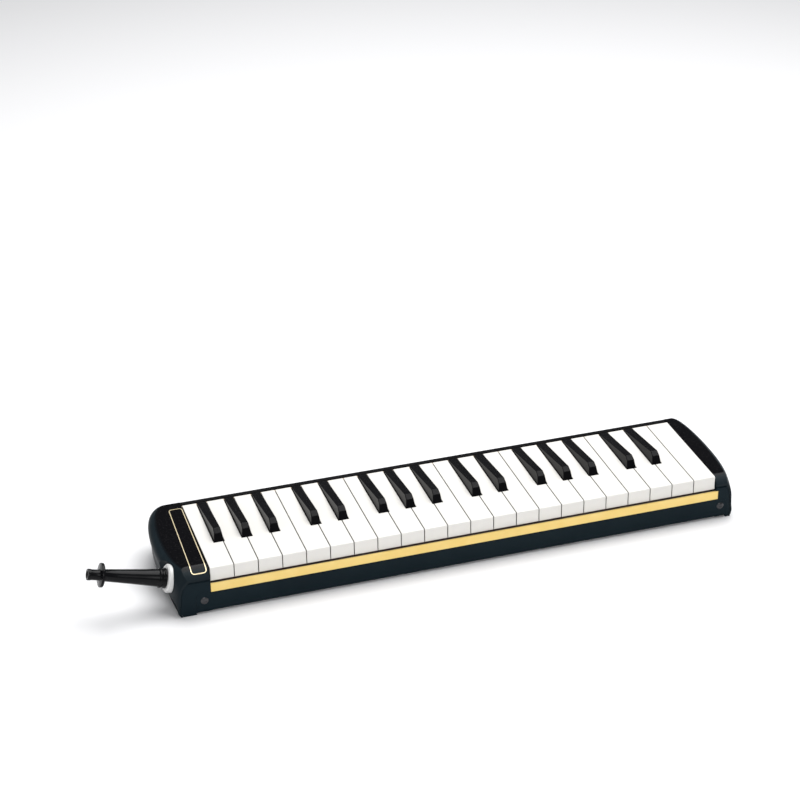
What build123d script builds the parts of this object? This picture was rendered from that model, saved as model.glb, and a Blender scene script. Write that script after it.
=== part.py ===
"""Melodica with 37 keys, F to F.

+X runs towards the high notes, +Y away from the player and +Z up. The origin is the middle of
the whole instrument's box, mouthpiece fitted, on the surface it lies on. Millimetres.
"""

import math
import os

from build123d import *

os.makedirs("parts", exist_ok=True)

# Keyboard
WHITE_PITCH = 17.7
WHITE_COUNT = 22
KEY_GAP = 0.6  # between neighbouring white keys
KEY_DEPTH = 87.8  # front to rear end of a key
KEY_TOP_Z = 35.8  # top of the white keys
KEY_SKIRT_Z = 27.0  # underside of a key's side walls
KEY_LIP_Z = 25.0  # underside of a white key's front lip
KEY_LIP = 1.8
KEY_SKIN = 2.2  # thickness of a key's top
KEY_WALL = 1.3  # thickness of a key's side walls
KEY_DIP = 4.5  # travel of a white key's front edge
WHITE_EDGE_RADIUS = 0.35
WHITE_FRONT_RADIUS = 1.1
BLACK_WIDTH = 7.2
BLACK_TOP_WIDTH = 5.2  # where the sides' draft would meet the highest point
BLACK_LENGTH = 55.9  # foot of a black key's front to its rear end
BLACK_CREST_SET = 6.1  # from that foot to the highest point
BLACK_RISE = 8.0  # highest point above the white keys
BLACK_BEVEL_RISE = 5.6  # top of the front face above the white keys
BLACK_BEVEL_SET = 2.3  # how far the top of the front face leans back
BLACK_TAIL_RISE = 0.5  # rear end above the white keys
BLACK_EDGE_RADIUS = 0.5
NOTCH_GAP = 0.5  # beside a black key
NOTCH_FRONT_GAP = 0.9  # in front of a black key, which leans forward as it goes down
BLACK_SHIFT = {"f": -3.0, "g": 0.0, "a": 3.0, "c": -1.5, "d": 1.5}  # off the white keys' joint

# Pivot, pads and springs
PIVOT_TO_REAR = 30.8  # rod's axis to the keys' rear ends
PIVOT_Z = 29.0
PIVOT_RADIUS = 1.25
PIVOT_CLEARANCE = 0.05
POST_WIDTH = 2.8
POST_DEPTH = 5.0
POST_HEAD = 2.4  # post above the rod's axis
PAD_TO_REAR = 17.8  # pad's front edge to the keys' rear ends
PAD_LENGTH = 15.0
PAD_THICKNESS = 2.0
PAD_SIDE = 0.7  # pad narrower than the key's tail, each side
PAD_GAP = 0.05  # pad above its port with the key at rest
ARM_MARGIN = 2.0  # a key is solid from this far in front of its pad
GLUE_LINE = 0.02  # keeps glued pieces separate solids
SPRING_TO_PIVOT = 14.5
SPRING_SIDE = 0.33  # between a spring and what is beside it
SPRING_WIRE = 0.22  # radius of the wire
SPRING_TURNS = 6
SPRING_CLEARANCE = 0.1
SEAT_HEIGHT = 1.6

# Main frame, with the floor under the keys and the valve bank
FRAME_Z = 15.4  # underside of the floor
FRAME_FLOOR = 2.2
FRAME_WALL = 1.0  # wall behind the gold strip
FRAME_SKIRT = 5.0  # how far that wall reaches below the floor
BANK_Z = 23.0  # top of the valve bank
BANK_MARGIN = 3.0  # valve bank past the pads, front and rear
PORT_WIDTH = 4.2
PORT_LENGTH = 10.0
RIB_DEPTH = 4.5  # rib under the black keys' fronts
RIB_SET = 1.1  # behind the black keys' fronts
FELT = 2.5
FELT_CLEARANCE = 0.3
FRONT_FELT_DEPTH = 8.0
COLUMN_RADIUS = 4.0
COLUMN_TO_BLOCK = 18.0  # in front of the reed block
COLUMN_SHARES = (0.16, 0.5, 0.84)  # along the keyboard

# Outer case
CASE_TOP_Z = 34.9
FRONT_SET = 2.2  # case front ahead of the white keys' fronts
REAR_MARGIN = 8.6  # case back behind the keys' rear ends
SHEET = 0.8  # lower cover's sheet
COVER_Z = 0.8  # its underside
COVER_HEIGHT = 16.0
COVER_BEND = 2.5
COVER_CORNER = 4.0
COVER_LEFT = 11.4  # cover's reach past the keyboard's ends
COVER_RIGHT = 9.1
COVER_GAP = 0.1
STRIP_GAP = 0.2  # between the cover and the gold strip
STRIP_HEIGHT = 7.1
STRIP_RIGHT = 2.0  # strip's reach past the last key
RAIL_FOLD = 3.0
RAIL_WALL = 2.0
RAIL_TOP = 5.4  # width of the rear rim
REAR_FELT = 2.2
REAR_FELT_Z = 31.2
REAR_FELT_DROP = 0.7  # felt below the rim's top
LEDGE = 2.0
JOINT_GAP = 0.2  # between mouldings that butt together

# End caps. Levels: height, share of the front inset, share of the side inset, rear inset. Swells: pull
# points of the widest outline, each as (outwards from the keyboard's end, behind the white keys' fronts),
# with the front point first and the back edge left out.
CAP_LEVELS = (
    (0.0, 0.13, 0.76, 0.0),
    (9.0, 0.0, 0.43, 0.0),
    (18.0, 0.07, 0.17, 0.0),
    (26.0, 0.35, 0.02, 0.0),
    (31.0, 0.74, 0.06, 0.0),
    (33.6, 0.93, 0.45, 0.5),
    (CASE_TOP_Z, 1.0, 1.0, 2.0),
)
CAP_LEFT = ((24.1, -FRONT_SET), (30.5, 6.0), (33.0, 35.0), (31.5, 70.0))
CAP_RIGHT = ((13.8, -FRONT_SET), (20.5, 14.0), (17.0, 60.0))
CAP_CORNER_LEFT = (28.5, 15.0)  # back edge: where the swell pulls to, where it ends
CAP_CORNER_RIGHT = (18.0, 8.0)
CAP_INSETS_LEFT = (11.5, 8.6)  # how far the top plate's edge lies inside the swell, front and side
CAP_INSETS_RIGHT = (7.0, 5.2)
CAP_EDGE = 1.5  # cap's thin edge round its end block
CAP_REACH_LEFT = 32.0  # further out than the swell
CAP_REACH_RIGHT = 21.0
CAP_WALL = 2.0
CAP_FLOOR = 3.0
CAP_SEAM = 0.4  # cap's edge from the first key's space
CAP_ROLL_DEPTH = 12.0  # the top rolls down towards the front
CAP_ROLL_DROP = 5.2
BLOCK_DEPTH = 5.0  # end blocks
BLOCK_HEIGHT = 27.4
BLOCK_BEVEL = 1.2
BLOCK_GAP = 0.35

# Mouthpiece and its way in. "Way" is a distance along the mouthpiece's axis from the collar's face.
MOUTH_TILT = 15.0  # degrees, up from the horizontal
MOUTH_U = 29.1  # collar's face, from the first key's edge
MOUTH_Y = 15.2
MOUTH_Z = 24.0
MOUTH_LENGTH = 56.5  # outside the collar
MOUTH_PLUG_RADIUS = 6.2
MOUTH_PLUG = 12.0
MOUTH_SLIP = 0.05
MOUTH_WALL = 1.8  # of the plug
MOUTH_RIM = 1.6  # rim that stops the plug, and its length
MOUTH_RIM_OVER = 1.1
MOUTH_NECK = 1.5
MOUTH_NECK_OVER = 0.4  # over the plug's radius
MOUTH_BEAD = 1.4
MOUTH_BEAD_OVER = 0.9
MOUTH_STEP = 0.3
CONE_START = 5.6
CONE_OVER = 0.1
CONE_RADIUS = 4.35  # its small end, by the flange
FLANGE_TO_TIP = 11.1
FLANGE = 2.0
FLANGE_RADIUS = 8.7
FLANGE_ROUND = 0.8
TIP_NECK_RADIUS = 3.85
TIP_NECK_START = 7.9  # from the tip's end
TIP_SWELL = 2.1
MOUTH_TIP_RADIUS = 4.1
MOUTH_TIP_ROUND = 0.9
MOUTH_TIP_BORE = 2.5
COLLAR_WALL = 1.3  # sleeve round the plug
COLLAR_OVER = 2.7  # flange over the sleeve
COLLAR_BEVEL = 1.0
COLLAR_FLANGE = 4.6
COLLAR_SLEEVE = 16.0
COLLAR_GAP = 0.4
COLLAR_STEP = 1.6  # ledge that the plug's end meets
RING_RADIUS = 0.55  # O-ring's cord
RING_SQUEEZE = 0.05
SCOOP_RADIUS = 17.0
BOSS_RADIUS = 15.5
BOSS_LENGTH = 9.2
DUCT_WALL = 1.5
DUCT_TUBE_WALL = 1.8
DUCT_SLIP = 0.1
DUCT_OUT = 16.0  # duct's box, measured outwards from the keyboard's end
DUCT_IN = 1.2
DUCT_FRONT_SIDE = 9.6  # in front of the mouthpiece's axis
DUCT_TOP_Z = 31.0
WINDOW_MARGIN = 4.0  # behind the tub's front
WINDOW_LENGTH = 13.0
WINDOW_Z = 4.7
WINDOW_LIP = 0.8

# Reeds and wind chamber
BLOCK_Z = 10.4  # underside of the reed block
BLOCK_DEPTH_Y = 54.0
BLOCK_REAR_MARGIN = 4.4  # in front of the case's back
BLOCK_FLANGE = 4.0  # block past the tub, front and rear
CELL_WIDTH = 6.4
PLATE = 1.2
PLATE_MARGIN = 1.0  # plate behind the cells
PLATE_INSET = 2.0  # plate's front behind the tub's front
PLATE_GAP = 0.6
PLATE_NOTES = 19  # notes on the first plate
REED_LONG = 34.0
REED_SHORT = 12.0
REED_WIDE = 3.6
REED_NARROW = 2.2
REED = 0.25
REED_SLOT_GAP = 0.1
REED_FOOT = 4.0
REED_TIP_SET = 2.0  # tips in front of the cells' rear walls
RIVET_RADIUS = 0.8
RIVET_HEAD = 0.35
GASKET = 0.6
TUB_Z = 1.9
TUB_FLOOR = 1.4
TUB_WALL = 1.6
TUB_FLANGE = 1.4

# Drain valve
DRAIN_MARGIN = 14.0  # behind the tub's front
DRAIN_REACH = 18.0  # button's end, from the last key's edge
DRAIN_HEAD_LENGTH = 6.0
DRAIN_HEAD_RADIUS = 3.4
DRAIN_STEM_RADIUS = 1.0
DRAIN_HOLE_RADIUS = 1.7
DRAIN_SEAL_RADIUS = 2.4
DRAIN_SEAL = 1.0
DRAIN_COIL = 0.75  # spring's radius over the stem's
DRAIN_CLEARANCE = 0.1

# Screws
SCREW_RADIUS = 1.5
SCREW_HEAD_RADIUS = 2.8
SCREW_HEAD = 1.0
UNDER_HEAD = 0.6  # flatter heads under the case
SCREW_LENGTH = 6.0
SCREW_CLEARANCE = 0.02
COVER_HOLE_CLEARANCE = 0.1
SCREW_Z = 10.8
SCREW_LEFT = 5.3
SCREW_RIGHT = 4.3
INNER_SCREW_RADIUS = 1.0
INNER_HEAD_RADIUS = 1.9
INNER_HEAD = 0.9
INNER_SCREW_LENGTH = 4.5
INNER_SCREW_COUNT = 8

# Sizes that follow from those above
KEYBED = WHITE_PITCH * WHITE_COUNT
REAR_SET = KEY_DEPTH + REAR_MARGIN
BLACK_FRONT = KEY_DEPTH - BLACK_LENGTH
BLACK_CREST = BLACK_FRONT + BLACK_CREST_SET
PIVOT_Y = KEY_DEPTH - PIVOT_TO_REAR
PAD_FRONT = KEY_DEPTH - PAD_TO_REAR
PAD_REAR = PAD_FRONT + PAD_LENGTH
PAD_TOP_Z = BANK_Z + PAD_THICKNESS + PAD_GAP
ARM_FRONT = PAD_FRONT - ARM_MARGIN
SPRING_Y = PIVOT_Y - SPRING_TO_PIVOT
SPRING_RADIUS = BLACK_WIDTH / 2 - KEY_WALL - SPRING_WIRE - SPRING_SIDE
SEAT_RADIUS = SPRING_RADIUS - SPRING_WIRE - SPRING_SIDE
FRAME_TOP_Z = FRAME_Z + FRAME_FLOOR
SPRING_FOOT_Z = FRAME_TOP_Z + SPRING_CLEARANCE + SPRING_WIRE
SPRING_HEAD_Z = KEY_TOP_Z - KEY_SKIN - SPRING_CLEARANCE - SPRING_WIRE
RIB_FRONT = BLACK_FRONT + RIB_SET
RIB_TOP_Z = KEY_SKIRT_Z - FELT - FELT_CLEARANCE - KEY_DIP * (PIVOT_Y - RIB_FRONT) / PIVOT_Y
BLOCK_REAR = REAR_SET - BLOCK_REAR_MARGIN
BLOCK_FRONT = BLOCK_REAR - BLOCK_DEPTH_Y
COLUMN_Y = BLOCK_FRONT - COLUMN_TO_BLOCK
TUB_FRONT = BLOCK_FRONT + BLOCK_FLANGE
TUB_REAR = BLOCK_REAR - BLOCK_FLANGE
PLATE_FRONT = TUB_FRONT + PLATE_INSET
PLATE_REAR = PAD_REAR + PLATE_MARGIN
REED_TIP_Y = PAD_REAR - REED_TIP_SET
WINDOW_FRONT = TUB_FRONT + WINDOW_MARGIN
DRAIN_Y = TUB_FRONT + DRAIN_MARGIN
DRAIN_Z = (TUB_Z + TUB_FLOOR + BLOCK_Z - PLATE) / 2  # halfway between the tub's floor and the reed plates
STRIP_Z = COVER_Z + COVER_HEIGHT + STRIP_GAP
STRIP_TOP_Z = STRIP_Z + STRIP_HEIGHT
GASKET_Z = BLOCK_Z - GASKET
TUB_TOP_Z = GASKET_Z
COLLAR_SLEEVE_RADIUS = MOUTH_PLUG_RADIUS + COLLAR_WALL
COLLAR_RADIUS = COLLAR_SLEEVE_RADIUS + COLLAR_OVER
TILT = math.radians(MOUTH_TILT)
TIP_REACH = (
    MOUTH_U
    + (MOUTH_LENGTH - MOUTH_TIP_ROUND) * math.cos(TILT)
    + (MOUTH_TIP_RADIUS - MOUTH_TIP_ROUND) * math.sin(TILT)
    + MOUTH_TIP_ROUND
)
KEYS_LEFT = -(KEYBED + DRAIN_REACH - TIP_REACH) / 2
KEYS_RIGHT = KEYS_LEFT + KEYBED
KEYS_FRONT = -(REAR_SET - FRONT_SET) / 2
LEFT_END = -1
RIGHT_END = 1


def key_y(distance):
    """Row Y of a place that lies this far behind the white keys' fronts."""
    return KEYS_FRONT + distance


def end_x(side, reach):
    """Row X of a place that lies this far outwards from the keyboard's left or right end."""
    return KEYS_LEFT - reach if side == LEFT_END else KEYS_RIGHT + reach


def block(x0, x1, y0, y1, z0, z1, mode=Mode.ADD):
    """Rectangular block between two corners, in the part being built."""
    with Locations(((x0 + x1) / 2, (y0 + y1) / 2, (z0 + z1) / 2)):
        Box(abs(x1 - x0), abs(y1 - y0), abs(z1 - z0), mode=mode)


def bar_x(x0, x1, y, z, radius, mode=Mode.ADD):
    """Round bar along X, in the part being built."""
    with Locations(((x0 + x1) / 2, y, z)):
        Cylinder(radius, abs(x1 - x0), rotation=(0, 90, 0), mode=mode)


def bar_y(x, y0, y1, z, radius, mode=Mode.ADD):
    """Round bar along Y, in the part being built."""
    with Locations((x, (y0 + y1) / 2, z)):
        Cylinder(radius, abs(y1 - y0), rotation=(90, 0, 0), mode=mode)


def save(piece, name):
    """Name a finished piece and write its file."""
    piece.part.label = name
    export_step(piece.part, f"parts/{name}.step")


# ------------------------------------------------------------------ the notes of the keyboard


def black_centre(joint):
    """Distance of a black key's middle from the keyboard's left end, or None where there is none."""
    letter = "fgabcde"[(joint - 1) % 7]
    if not 0 < joint < WHITE_COUNT or letter not in BLACK_SHIFT:
        return None
    return joint * WHITE_PITCH + BLACK_SHIFT[letter]


def list_notes():
    """Every key from low to high: (node name, is it black, position number, tail's left, right)."""
    notes = []
    reach = BLACK_WIDTH / 2 + NOTCH_GAP
    for index in range(WHITE_COUNT):
        letter, octave = "fgabcde"[index % 7], 3 + (index + 3) // 7
        below, above = black_centre(index), black_centre(index + 1)
        left = index * WHITE_PITCH + KEY_GAP / 2 if below is None else below + reach
        right = (index + 1) * WHITE_PITCH - KEY_GAP / 2 if above is None else above - reach
        notes.append((f"white_key_{letter}{octave}", False, index, left, right))
        if above is not None:
            edge = BLACK_WIDTH / 2
            notes.append((f"black_key_{letter}_sharp_{octave}", True, index + 1, above - edge, above + edge))
    return notes


NOTES = list_notes()
TAIL_CENTRES = [KEYS_LEFT + (note[3] + note[4]) / 2 for note in NOTES]


def key_pad(left, right):
    """Pad arm and, a glue line below it, the soft valve pad, in the key being built."""
    x0, x1 = left + PAD_SIDE, right - PAD_SIDE
    front, rear = key_y(PAD_FRONT), key_y(PAD_FRONT + PAD_LENGTH)
    block(x0, x1, front, rear, PAD_TOP_Z, KEY_SKIRT_Z)
    block(x0, x1, front, rear, PAD_TOP_Z - PAD_THICKNESS, PAD_TOP_Z - GLUE_LINE)


def white_key(name, index, tail_left, tail_right):
    """A white key: hollow lever, notched beside its black neighbours, with its pad."""
    left = KEYS_LEFT + index * WHITE_PITCH + KEY_GAP / 2
    right = left + WHITE_PITCH - KEY_GAP
    tail_left, tail_right = tail_left + KEYS_LEFT, tail_right + KEYS_LEFT
    front, rear = key_y(0), key_y(KEY_DEPTH)
    notch = key_y(BLACK_FRONT - NOTCH_FRONT_GAP)
    outline = [(left, front), (right, front)]
    outline += [(right, notch), (tail_right, notch)] if tail_right < right - KEY_GAP else []
    outline += [(tail_right, rear), (tail_left, rear)]
    outline += [(tail_left, notch), (left, notch)] if tail_left > left + KEY_GAP else []
    with BuildPart() as key:
        with BuildSketch(Plane.XY.offset(KEY_SKIRT_Z)):
            with BuildLine():
                Polyline(*outline, close=True)
            make_face()
        extrude(amount=KEY_TOP_Z - KEY_SKIRT_Z)
        top = key.faces().sort_by(Axis.Z)[-1].edges()
        fillet(top.filter_by(Axis.X).sort_by(Axis.Y)[0], WHITE_FRONT_RADIUS)
        top = key.faces().sort_by(Axis.Z)[-1].edges()
        fillet(top.filter_by(Axis.Y), WHITE_EDGE_RADIUS)
        block(left, right, front, front + KEY_LIP, KEY_LIP_Z, KEY_SKIRT_Z)
        hollow_top = KEY_TOP_Z - KEY_SKIN
        block(left + KEY_WALL, right - KEY_WALL, front + KEY_LIP, notch - KEY_WALL, KEY_SKIRT_Z,
              hollow_top, Mode.SUBTRACT)
        block(tail_left + KEY_WALL, tail_right - KEY_WALL, front + KEY_LIP, key_y(ARM_FRONT), KEY_SKIRT_Z,
              hollow_top, Mode.SUBTRACT)
        bar_x(left, right, key_y(PIVOT_Y), PIVOT_Z, PIVOT_RADIUS + PIVOT_CLEARANCE, Mode.SUBTRACT)
        key_pad(tail_left, tail_right)
    save(key, name)


def black_key(name, joint):
    """A black key: a wedge that is highest near its front, drafted at the sides, with its pad."""
    middle = KEYS_LEFT + black_centre(joint)
    half = BLACK_WIDTH / 2
    front, rear = key_y(BLACK_FRONT), key_y(KEY_DEPTH)
    crest_z = KEY_TOP_Z + BLACK_RISE
    with BuildPart() as key:
        with BuildSketch(Plane.YZ.offset(middle - half)):
            with BuildLine():
                Polyline(
                    (front, KEY_SKIRT_Z),
                    (rear, KEY_SKIRT_Z),
                    (rear, KEY_TOP_Z + BLACK_TAIL_RISE),
                    (key_y(BLACK_CREST), crest_z),
                    (front + BLACK_BEVEL_SET, KEY_TOP_Z + BLACK_BEVEL_RISE),
                    (front, KEY_TOP_Z),
                    close=True,
                )
            make_face()
        extrude(amount=BLACK_WIDTH)
        with BuildSketch(Plane.XZ.offset(-front)):
            with BuildLine():
                Polyline(
                    (middle - half, KEY_SKIRT_Z),
                    (middle + half, KEY_SKIRT_Z),
                    (middle + half, KEY_TOP_Z),
                    (middle + BLACK_TOP_WIDTH / 2, crest_z),
                    (middle - BLACK_TOP_WIDTH / 2, crest_z),
                    (middle - half, KEY_TOP_Z),
                    close=True,
                )
            make_face()
        extrude(amount=-KEY_DEPTH, mode=Mode.INTERSECT)
        raised = key.edges().filter_by(lambda edge: edge.center().Z > KEY_TOP_Z + BLACK_EDGE_RADIUS)
        fillet(raised.filter_by(lambda edge: edge.center().Y < rear - BLACK_EDGE_RADIUS), BLACK_EDGE_RADIUS)
        block(middle - half + KEY_WALL, middle + half - KEY_WALL, front + KEY_WALL, key_y(ARM_FRONT),
              KEY_SKIRT_Z, KEY_TOP_Z - KEY_SKIN, Mode.SUBTRACT)
        bar_x(middle - half, middle + half, key_y(PIVOT_Y), PIVOT_Z, PIVOT_RADIUS + PIVOT_CLEARANCE,
              Mode.SUBTRACT)
        key_pad(middle - half, middle + half)
    save(key, name)


for note_name, is_black, position, note_left, note_right in NOTES:
    if is_black:
        black_key(note_name, position)
    else:
        white_key(note_name, position, note_left, note_right)


# ------------------------------------------------------------------ frame, rod, springs and felts

FRAME_LEFT = KEYS_LEFT - CAP_SEAM + JOINT_GAP
FRAME_RIGHT = KEYS_RIGHT + CAP_SEAM - JOINT_GAP
COLUMN_XS = [KEYS_LEFT + KEYBED * share for share in COLUMN_SHARES]
INNER_XS = [KEYS_LEFT + KEYBED * (number + 0.5) / INNER_SCREW_COUNT for number in range(INNER_SCREW_COUNT)]
INNER_YS = (key_y((BLOCK_FRONT + TUB_FRONT) / 2), key_y((BLOCK_REAR + TUB_REAR) / 2))

with BuildPart() as main_frame:
    block(FRAME_LEFT, FRAME_RIGHT, key_y(-FRONT_SET + SHEET), key_y(REAR_SET - RAIL_WALL - JOINT_GAP),
          FRAME_Z, FRAME_TOP_Z)
    block(FRAME_LEFT, FRAME_RIGHT, key_y(-FRONT_SET + SHEET), key_y(-FRONT_SET + SHEET + FRAME_WALL),
          FRAME_Z - FRAME_SKIRT, STRIP_TOP_Z)
    block(FRAME_LEFT, FRAME_RIGHT, key_y(PAD_FRONT - BANK_MARGIN), key_y(PAD_REAR + BANK_MARGIN),
          FRAME_TOP_Z, BANK_Z)
    block(FRAME_LEFT, FRAME_RIGHT, key_y(RIB_FRONT), key_y(RIB_FRONT + RIB_DEPTH), FRAME_TOP_Z,
          RIB_TOP_Z)
    post_height = PIVOT_Z + POST_HEAD - FRAME_TOP_Z
    with Locations(*[(x, key_y(PIVOT_Y), FRAME_TOP_Z + post_height / 2) for x in TAIL_CENTRES]):
        Box(POST_WIDTH, POST_DEPTH, post_height)
    bar_x(FRAME_LEFT, FRAME_RIGHT, key_y(PIVOT_Y), PIVOT_Z, PIVOT_RADIUS + SCREW_CLEARANCE, Mode.SUBTRACT)
    with Locations(*[(x, key_y(SPRING_Y), FRAME_TOP_Z + SEAT_HEIGHT / 2) for x in TAIL_CENTRES]):
        Cylinder(SEAT_RADIUS, SEAT_HEIGHT)
    column_foot = COVER_Z + SHEET + COVER_GAP
    with Locations(*[(x, key_y(COLUMN_Y), (column_foot + FRAME_Z) / 2) for x in COLUMN_XS]):
        Cylinder(COLUMN_RADIUS, FRAME_Z - column_foot)
    with Locations(*[(x, key_y(COLUMN_Y), column_foot + SCREW_LENGTH / 2) for x in COLUMN_XS]):
        Cylinder(SCREW_RADIUS + SCREW_CLEARANCE, SCREW_LENGTH, mode=Mode.SUBTRACT)
    with BuildSketch(Plane.XY.offset(BANK_Z)):
        with Locations(*[(x, key_y(PAD_FRONT + PAD_LENGTH / 2)) for x in TAIL_CENTRES]):
            SlotOverall(PORT_LENGTH, PORT_WIDTH, rotation=90)
    extrude(amount=FRAME_Z - BANK_Z, mode=Mode.SUBTRACT)
save(main_frame, "main_frame")

with BuildPart() as pivot_rod:
    bar_x(KEYS_LEFT + KEY_GAP / 2, KEYS_RIGHT - KEY_GAP / 2, key_y(PIVOT_Y), PIVOT_Z, PIVOT_RADIUS)
    chamfer(pivot_rod.edges().filter_by(GeomType.CIRCLE), PIVOT_RADIUS / 4)
save(pivot_rod, "pivot_rod")


def coil_spring(radius, wire, length, turns):
    """An open coil spring that stands on Z = 0."""
    with BuildPart() as spring:
        with BuildLine() as path:
            Helix(pitch=length / turns, height=length, radius=radius)
        with BuildSketch(Plane(origin=path.line @ 0, z_dir=path.line % 0)):
            Circle(wire)
        sweep()
    return spring.part


key_spring = coil_spring(SPRING_RADIUS, SPRING_WIRE, SPRING_HEAD_Z - SPRING_FOOT_Z, SPRING_TURNS)
with BuildPart() as key_springs:
    with Locations(*[(x, key_y(SPRING_Y), SPRING_FOOT_Z) for x in TAIL_CENTRES]):
        add(key_spring)
save(key_springs, "key_springs")

with BuildPart() as stop_felts:
    lip_low_z = KEY_LIP_Z - KEY_DIP - FELT_CLEARANCE
    block(KEYS_LEFT + KEY_GAP, KEYS_RIGHT - KEY_GAP, key_y(KEY_GAP), key_y(KEY_GAP + FRONT_FELT_DEPTH),
          FRAME_TOP_Z, lip_low_z)
    block(KEYS_LEFT + KEY_GAP, KEYS_RIGHT - KEY_GAP, key_y(RIB_FRONT), key_y(RIB_FRONT + RIB_DEPTH),
          RIB_TOP_Z, RIB_TOP_Z + FELT)
save(stop_felts, "stop_felts")


# ------------------------------------------------------------------ rear rail, cover and gold strip

with BuildPart() as rear_rail:
    rim_front = key_y(REAR_SET - RAIL_FOLD - RAIL_TOP / 2)
    ledge_front = rim_front - REAR_FELT
    with BuildSketch(Plane.YZ.offset(FRAME_LEFT)):
        with BuildLine():
            Polyline(
                (rim_front, CASE_TOP_Z),
                (rim_front, REAR_FELT_Z),
                (ledge_front, REAR_FELT_Z),
                (ledge_front, REAR_FELT_Z - LEDGE),
                (key_y(REAR_SET - RAIL_WALL), REAR_FELT_Z - LEDGE),
                (key_y(REAR_SET - RAIL_WALL), STRIP_Z),
                (key_y(REAR_SET), STRIP_Z),
                (key_y(REAR_SET), CASE_TOP_Z),
                close=True,
            )
        rail_face = make_face()
        fillet(rail_face.vertices().group_by(Axis.Y)[-1].sort_by(Axis.X)[-1], RAIL_FOLD)
    extrude(amount=FRAME_RIGHT - FRAME_LEFT)
save(rear_rail, "rear_rail")

with BuildPart() as rear_felt:
    block(KEYS_LEFT + KEY_GAP / 2, KEYS_RIGHT - KEY_GAP / 2, ledge_front + GLUE_LINE, rim_front - GLUE_LINE,
          REAR_FELT_Z, CASE_TOP_Z - REAR_FELT_DROP)
save(rear_felt, "rear_felt")


def cover_shell(grow):
    """The folded sheet of the lower cover, or with grow the room that the end caps leave for it."""
    left, right = end_x(LEFT_END, COVER_LEFT) - grow, end_x(RIGHT_END, COVER_RIGHT) + grow
    front, rear = key_y(-FRONT_SET) - grow, key_y(REAR_SET) + grow
    low, high = COVER_Z - grow, COVER_Z + COVER_HEIGHT + grow
    sheet = SHEET + 2 * grow
    with BuildPart() as shell:
        with BuildSketch(Plane.YZ.offset(left)):
            with Locations(((front + rear) / 2, high)):
                RectangleRounded(rear - front, 2 * (high - low), COVER_BEND)
            with Locations(((front + rear) / 2, high + sheet)):
                RectangleRounded(rear - front - 2 * sheet, 2 * (high - low), COVER_BEND - SHEET,
                                 mode=Mode.SUBTRACT)
        extrude(amount=right - left)
        with BuildSketch(Plane.XZ.offset(-front)):
            with Locations(((left + right) / 2, (low + high) / 2)):
                RectangleRounded(right - left, high - low, COVER_CORNER)
        extrude(amount=front - rear, mode=Mode.INTERSECT)
    return shell.part


cover_sheet = cover_shell(0)
SCREW_XS = (end_x(LEFT_END, SCREW_LEFT), end_x(RIGHT_END, SCREW_RIGHT))
with BuildPart() as lower_cover:
    add(cover_sheet)
    for screw_x in SCREW_XS:
        bar_y(screw_x, key_y(-FRONT_SET) - SHEET, key_y(REAR_SET) + SHEET, SCREW_Z,
              SCREW_RADIUS + COVER_HOLE_CLEARANCE, Mode.SUBTRACT)
    with Locations(*[(x, key_y(COLUMN_Y), COVER_Z + SHEET / 2) for x in COLUMN_XS]):
        Cylinder(SCREW_RADIUS + COVER_HOLE_CLEARANCE, 2 * SHEET, mode=Mode.SUBTRACT)
save(lower_cover, "lower_cover")

with BuildPart() as gold_strip:
    block(FRAME_LEFT, end_x(RIGHT_END, STRIP_RIGHT), key_y(-FRONT_SET), key_y(-FRONT_SET + SHEET), STRIP_Z,
          STRIP_TOP_Z)
    chamfer(gold_strip.faces().sort_by(Axis.Y)[0].edges(), SHEET / 5)
save(gold_strip, "gold_strip")


# ------------------------------------------------------------------ end caps and end blocks


def end_solid(side, wall, low, high):
    """The swelling outer body of an end, or with a wall thickness its hollow, between two heights."""
    swell = CAP_LEFT if side == LEFT_END else CAP_RIGHT
    corner_pull, corner_end = CAP_CORNER_LEFT if side == LEFT_END else CAP_CORNER_RIGHT
    front_inset, side_inset = CAP_INSETS_LEFT if side == LEFT_END else CAP_INSETS_RIGHT
    inner_x = end_x(side, -4 * CAP_WALL)
    with BuildPart() as body:
        for level, front_share, side_share, rear_inset in CAP_LEVELS:
            inset = side_share * side_inset + wall
            back = key_y(REAR_SET - rear_inset - wall)
            pulls = [(end_x(side, swell[0][0] - front_share * front_inset - wall), key_y(swell[0][1]))]
            pulls += [(end_x(side, reach - inset), key_y(y)) for reach, y in swell[1:]]
            pulls += [(end_x(side, corner_pull - inset), back), (end_x(side, corner_end - inset / 2), back)]
            start = (pulls[0][0], pulls[0][1] - wall - FRONT_SET)
            with BuildSketch(Plane.XY.offset(low + (high - low) * level / CASE_TOP_Z)):
                with BuildLine():
                    Line(start, pulls[0])
                    Bezier(*pulls)
                    Polyline(pulls[-1], (inner_x, back), (inner_x, start[1]), start)
                make_face()
        loft()
        reach = CAP_REACH_LEFT if side == LEFT_END else CAP_REACH_RIGHT
        block(inner_x, end_x(side, reach), key_y(-4 * FRONT_SET - wall), key_y(REAR_SET - wall), low, high,
              Mode.INTERSECT)
    return body.part


end_solids = {side: end_solid(side, 0, 0, CASE_TOP_Z) for side in (LEFT_END, RIGHT_END)}
end_hollows = {
    side: end_solid(side, CAP_WALL, CAP_FLOOR, CASE_TOP_Z - CAP_WALL) for side in (LEFT_END, RIGHT_END)
}
cap_edges = {
    side: end_solid(side, CAP_EDGE, 0, CASE_TOP_Z - CAP_EDGE) for side in (LEFT_END, RIGHT_END)
}
cover_room = cover_shell(COVER_GAP)

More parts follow.
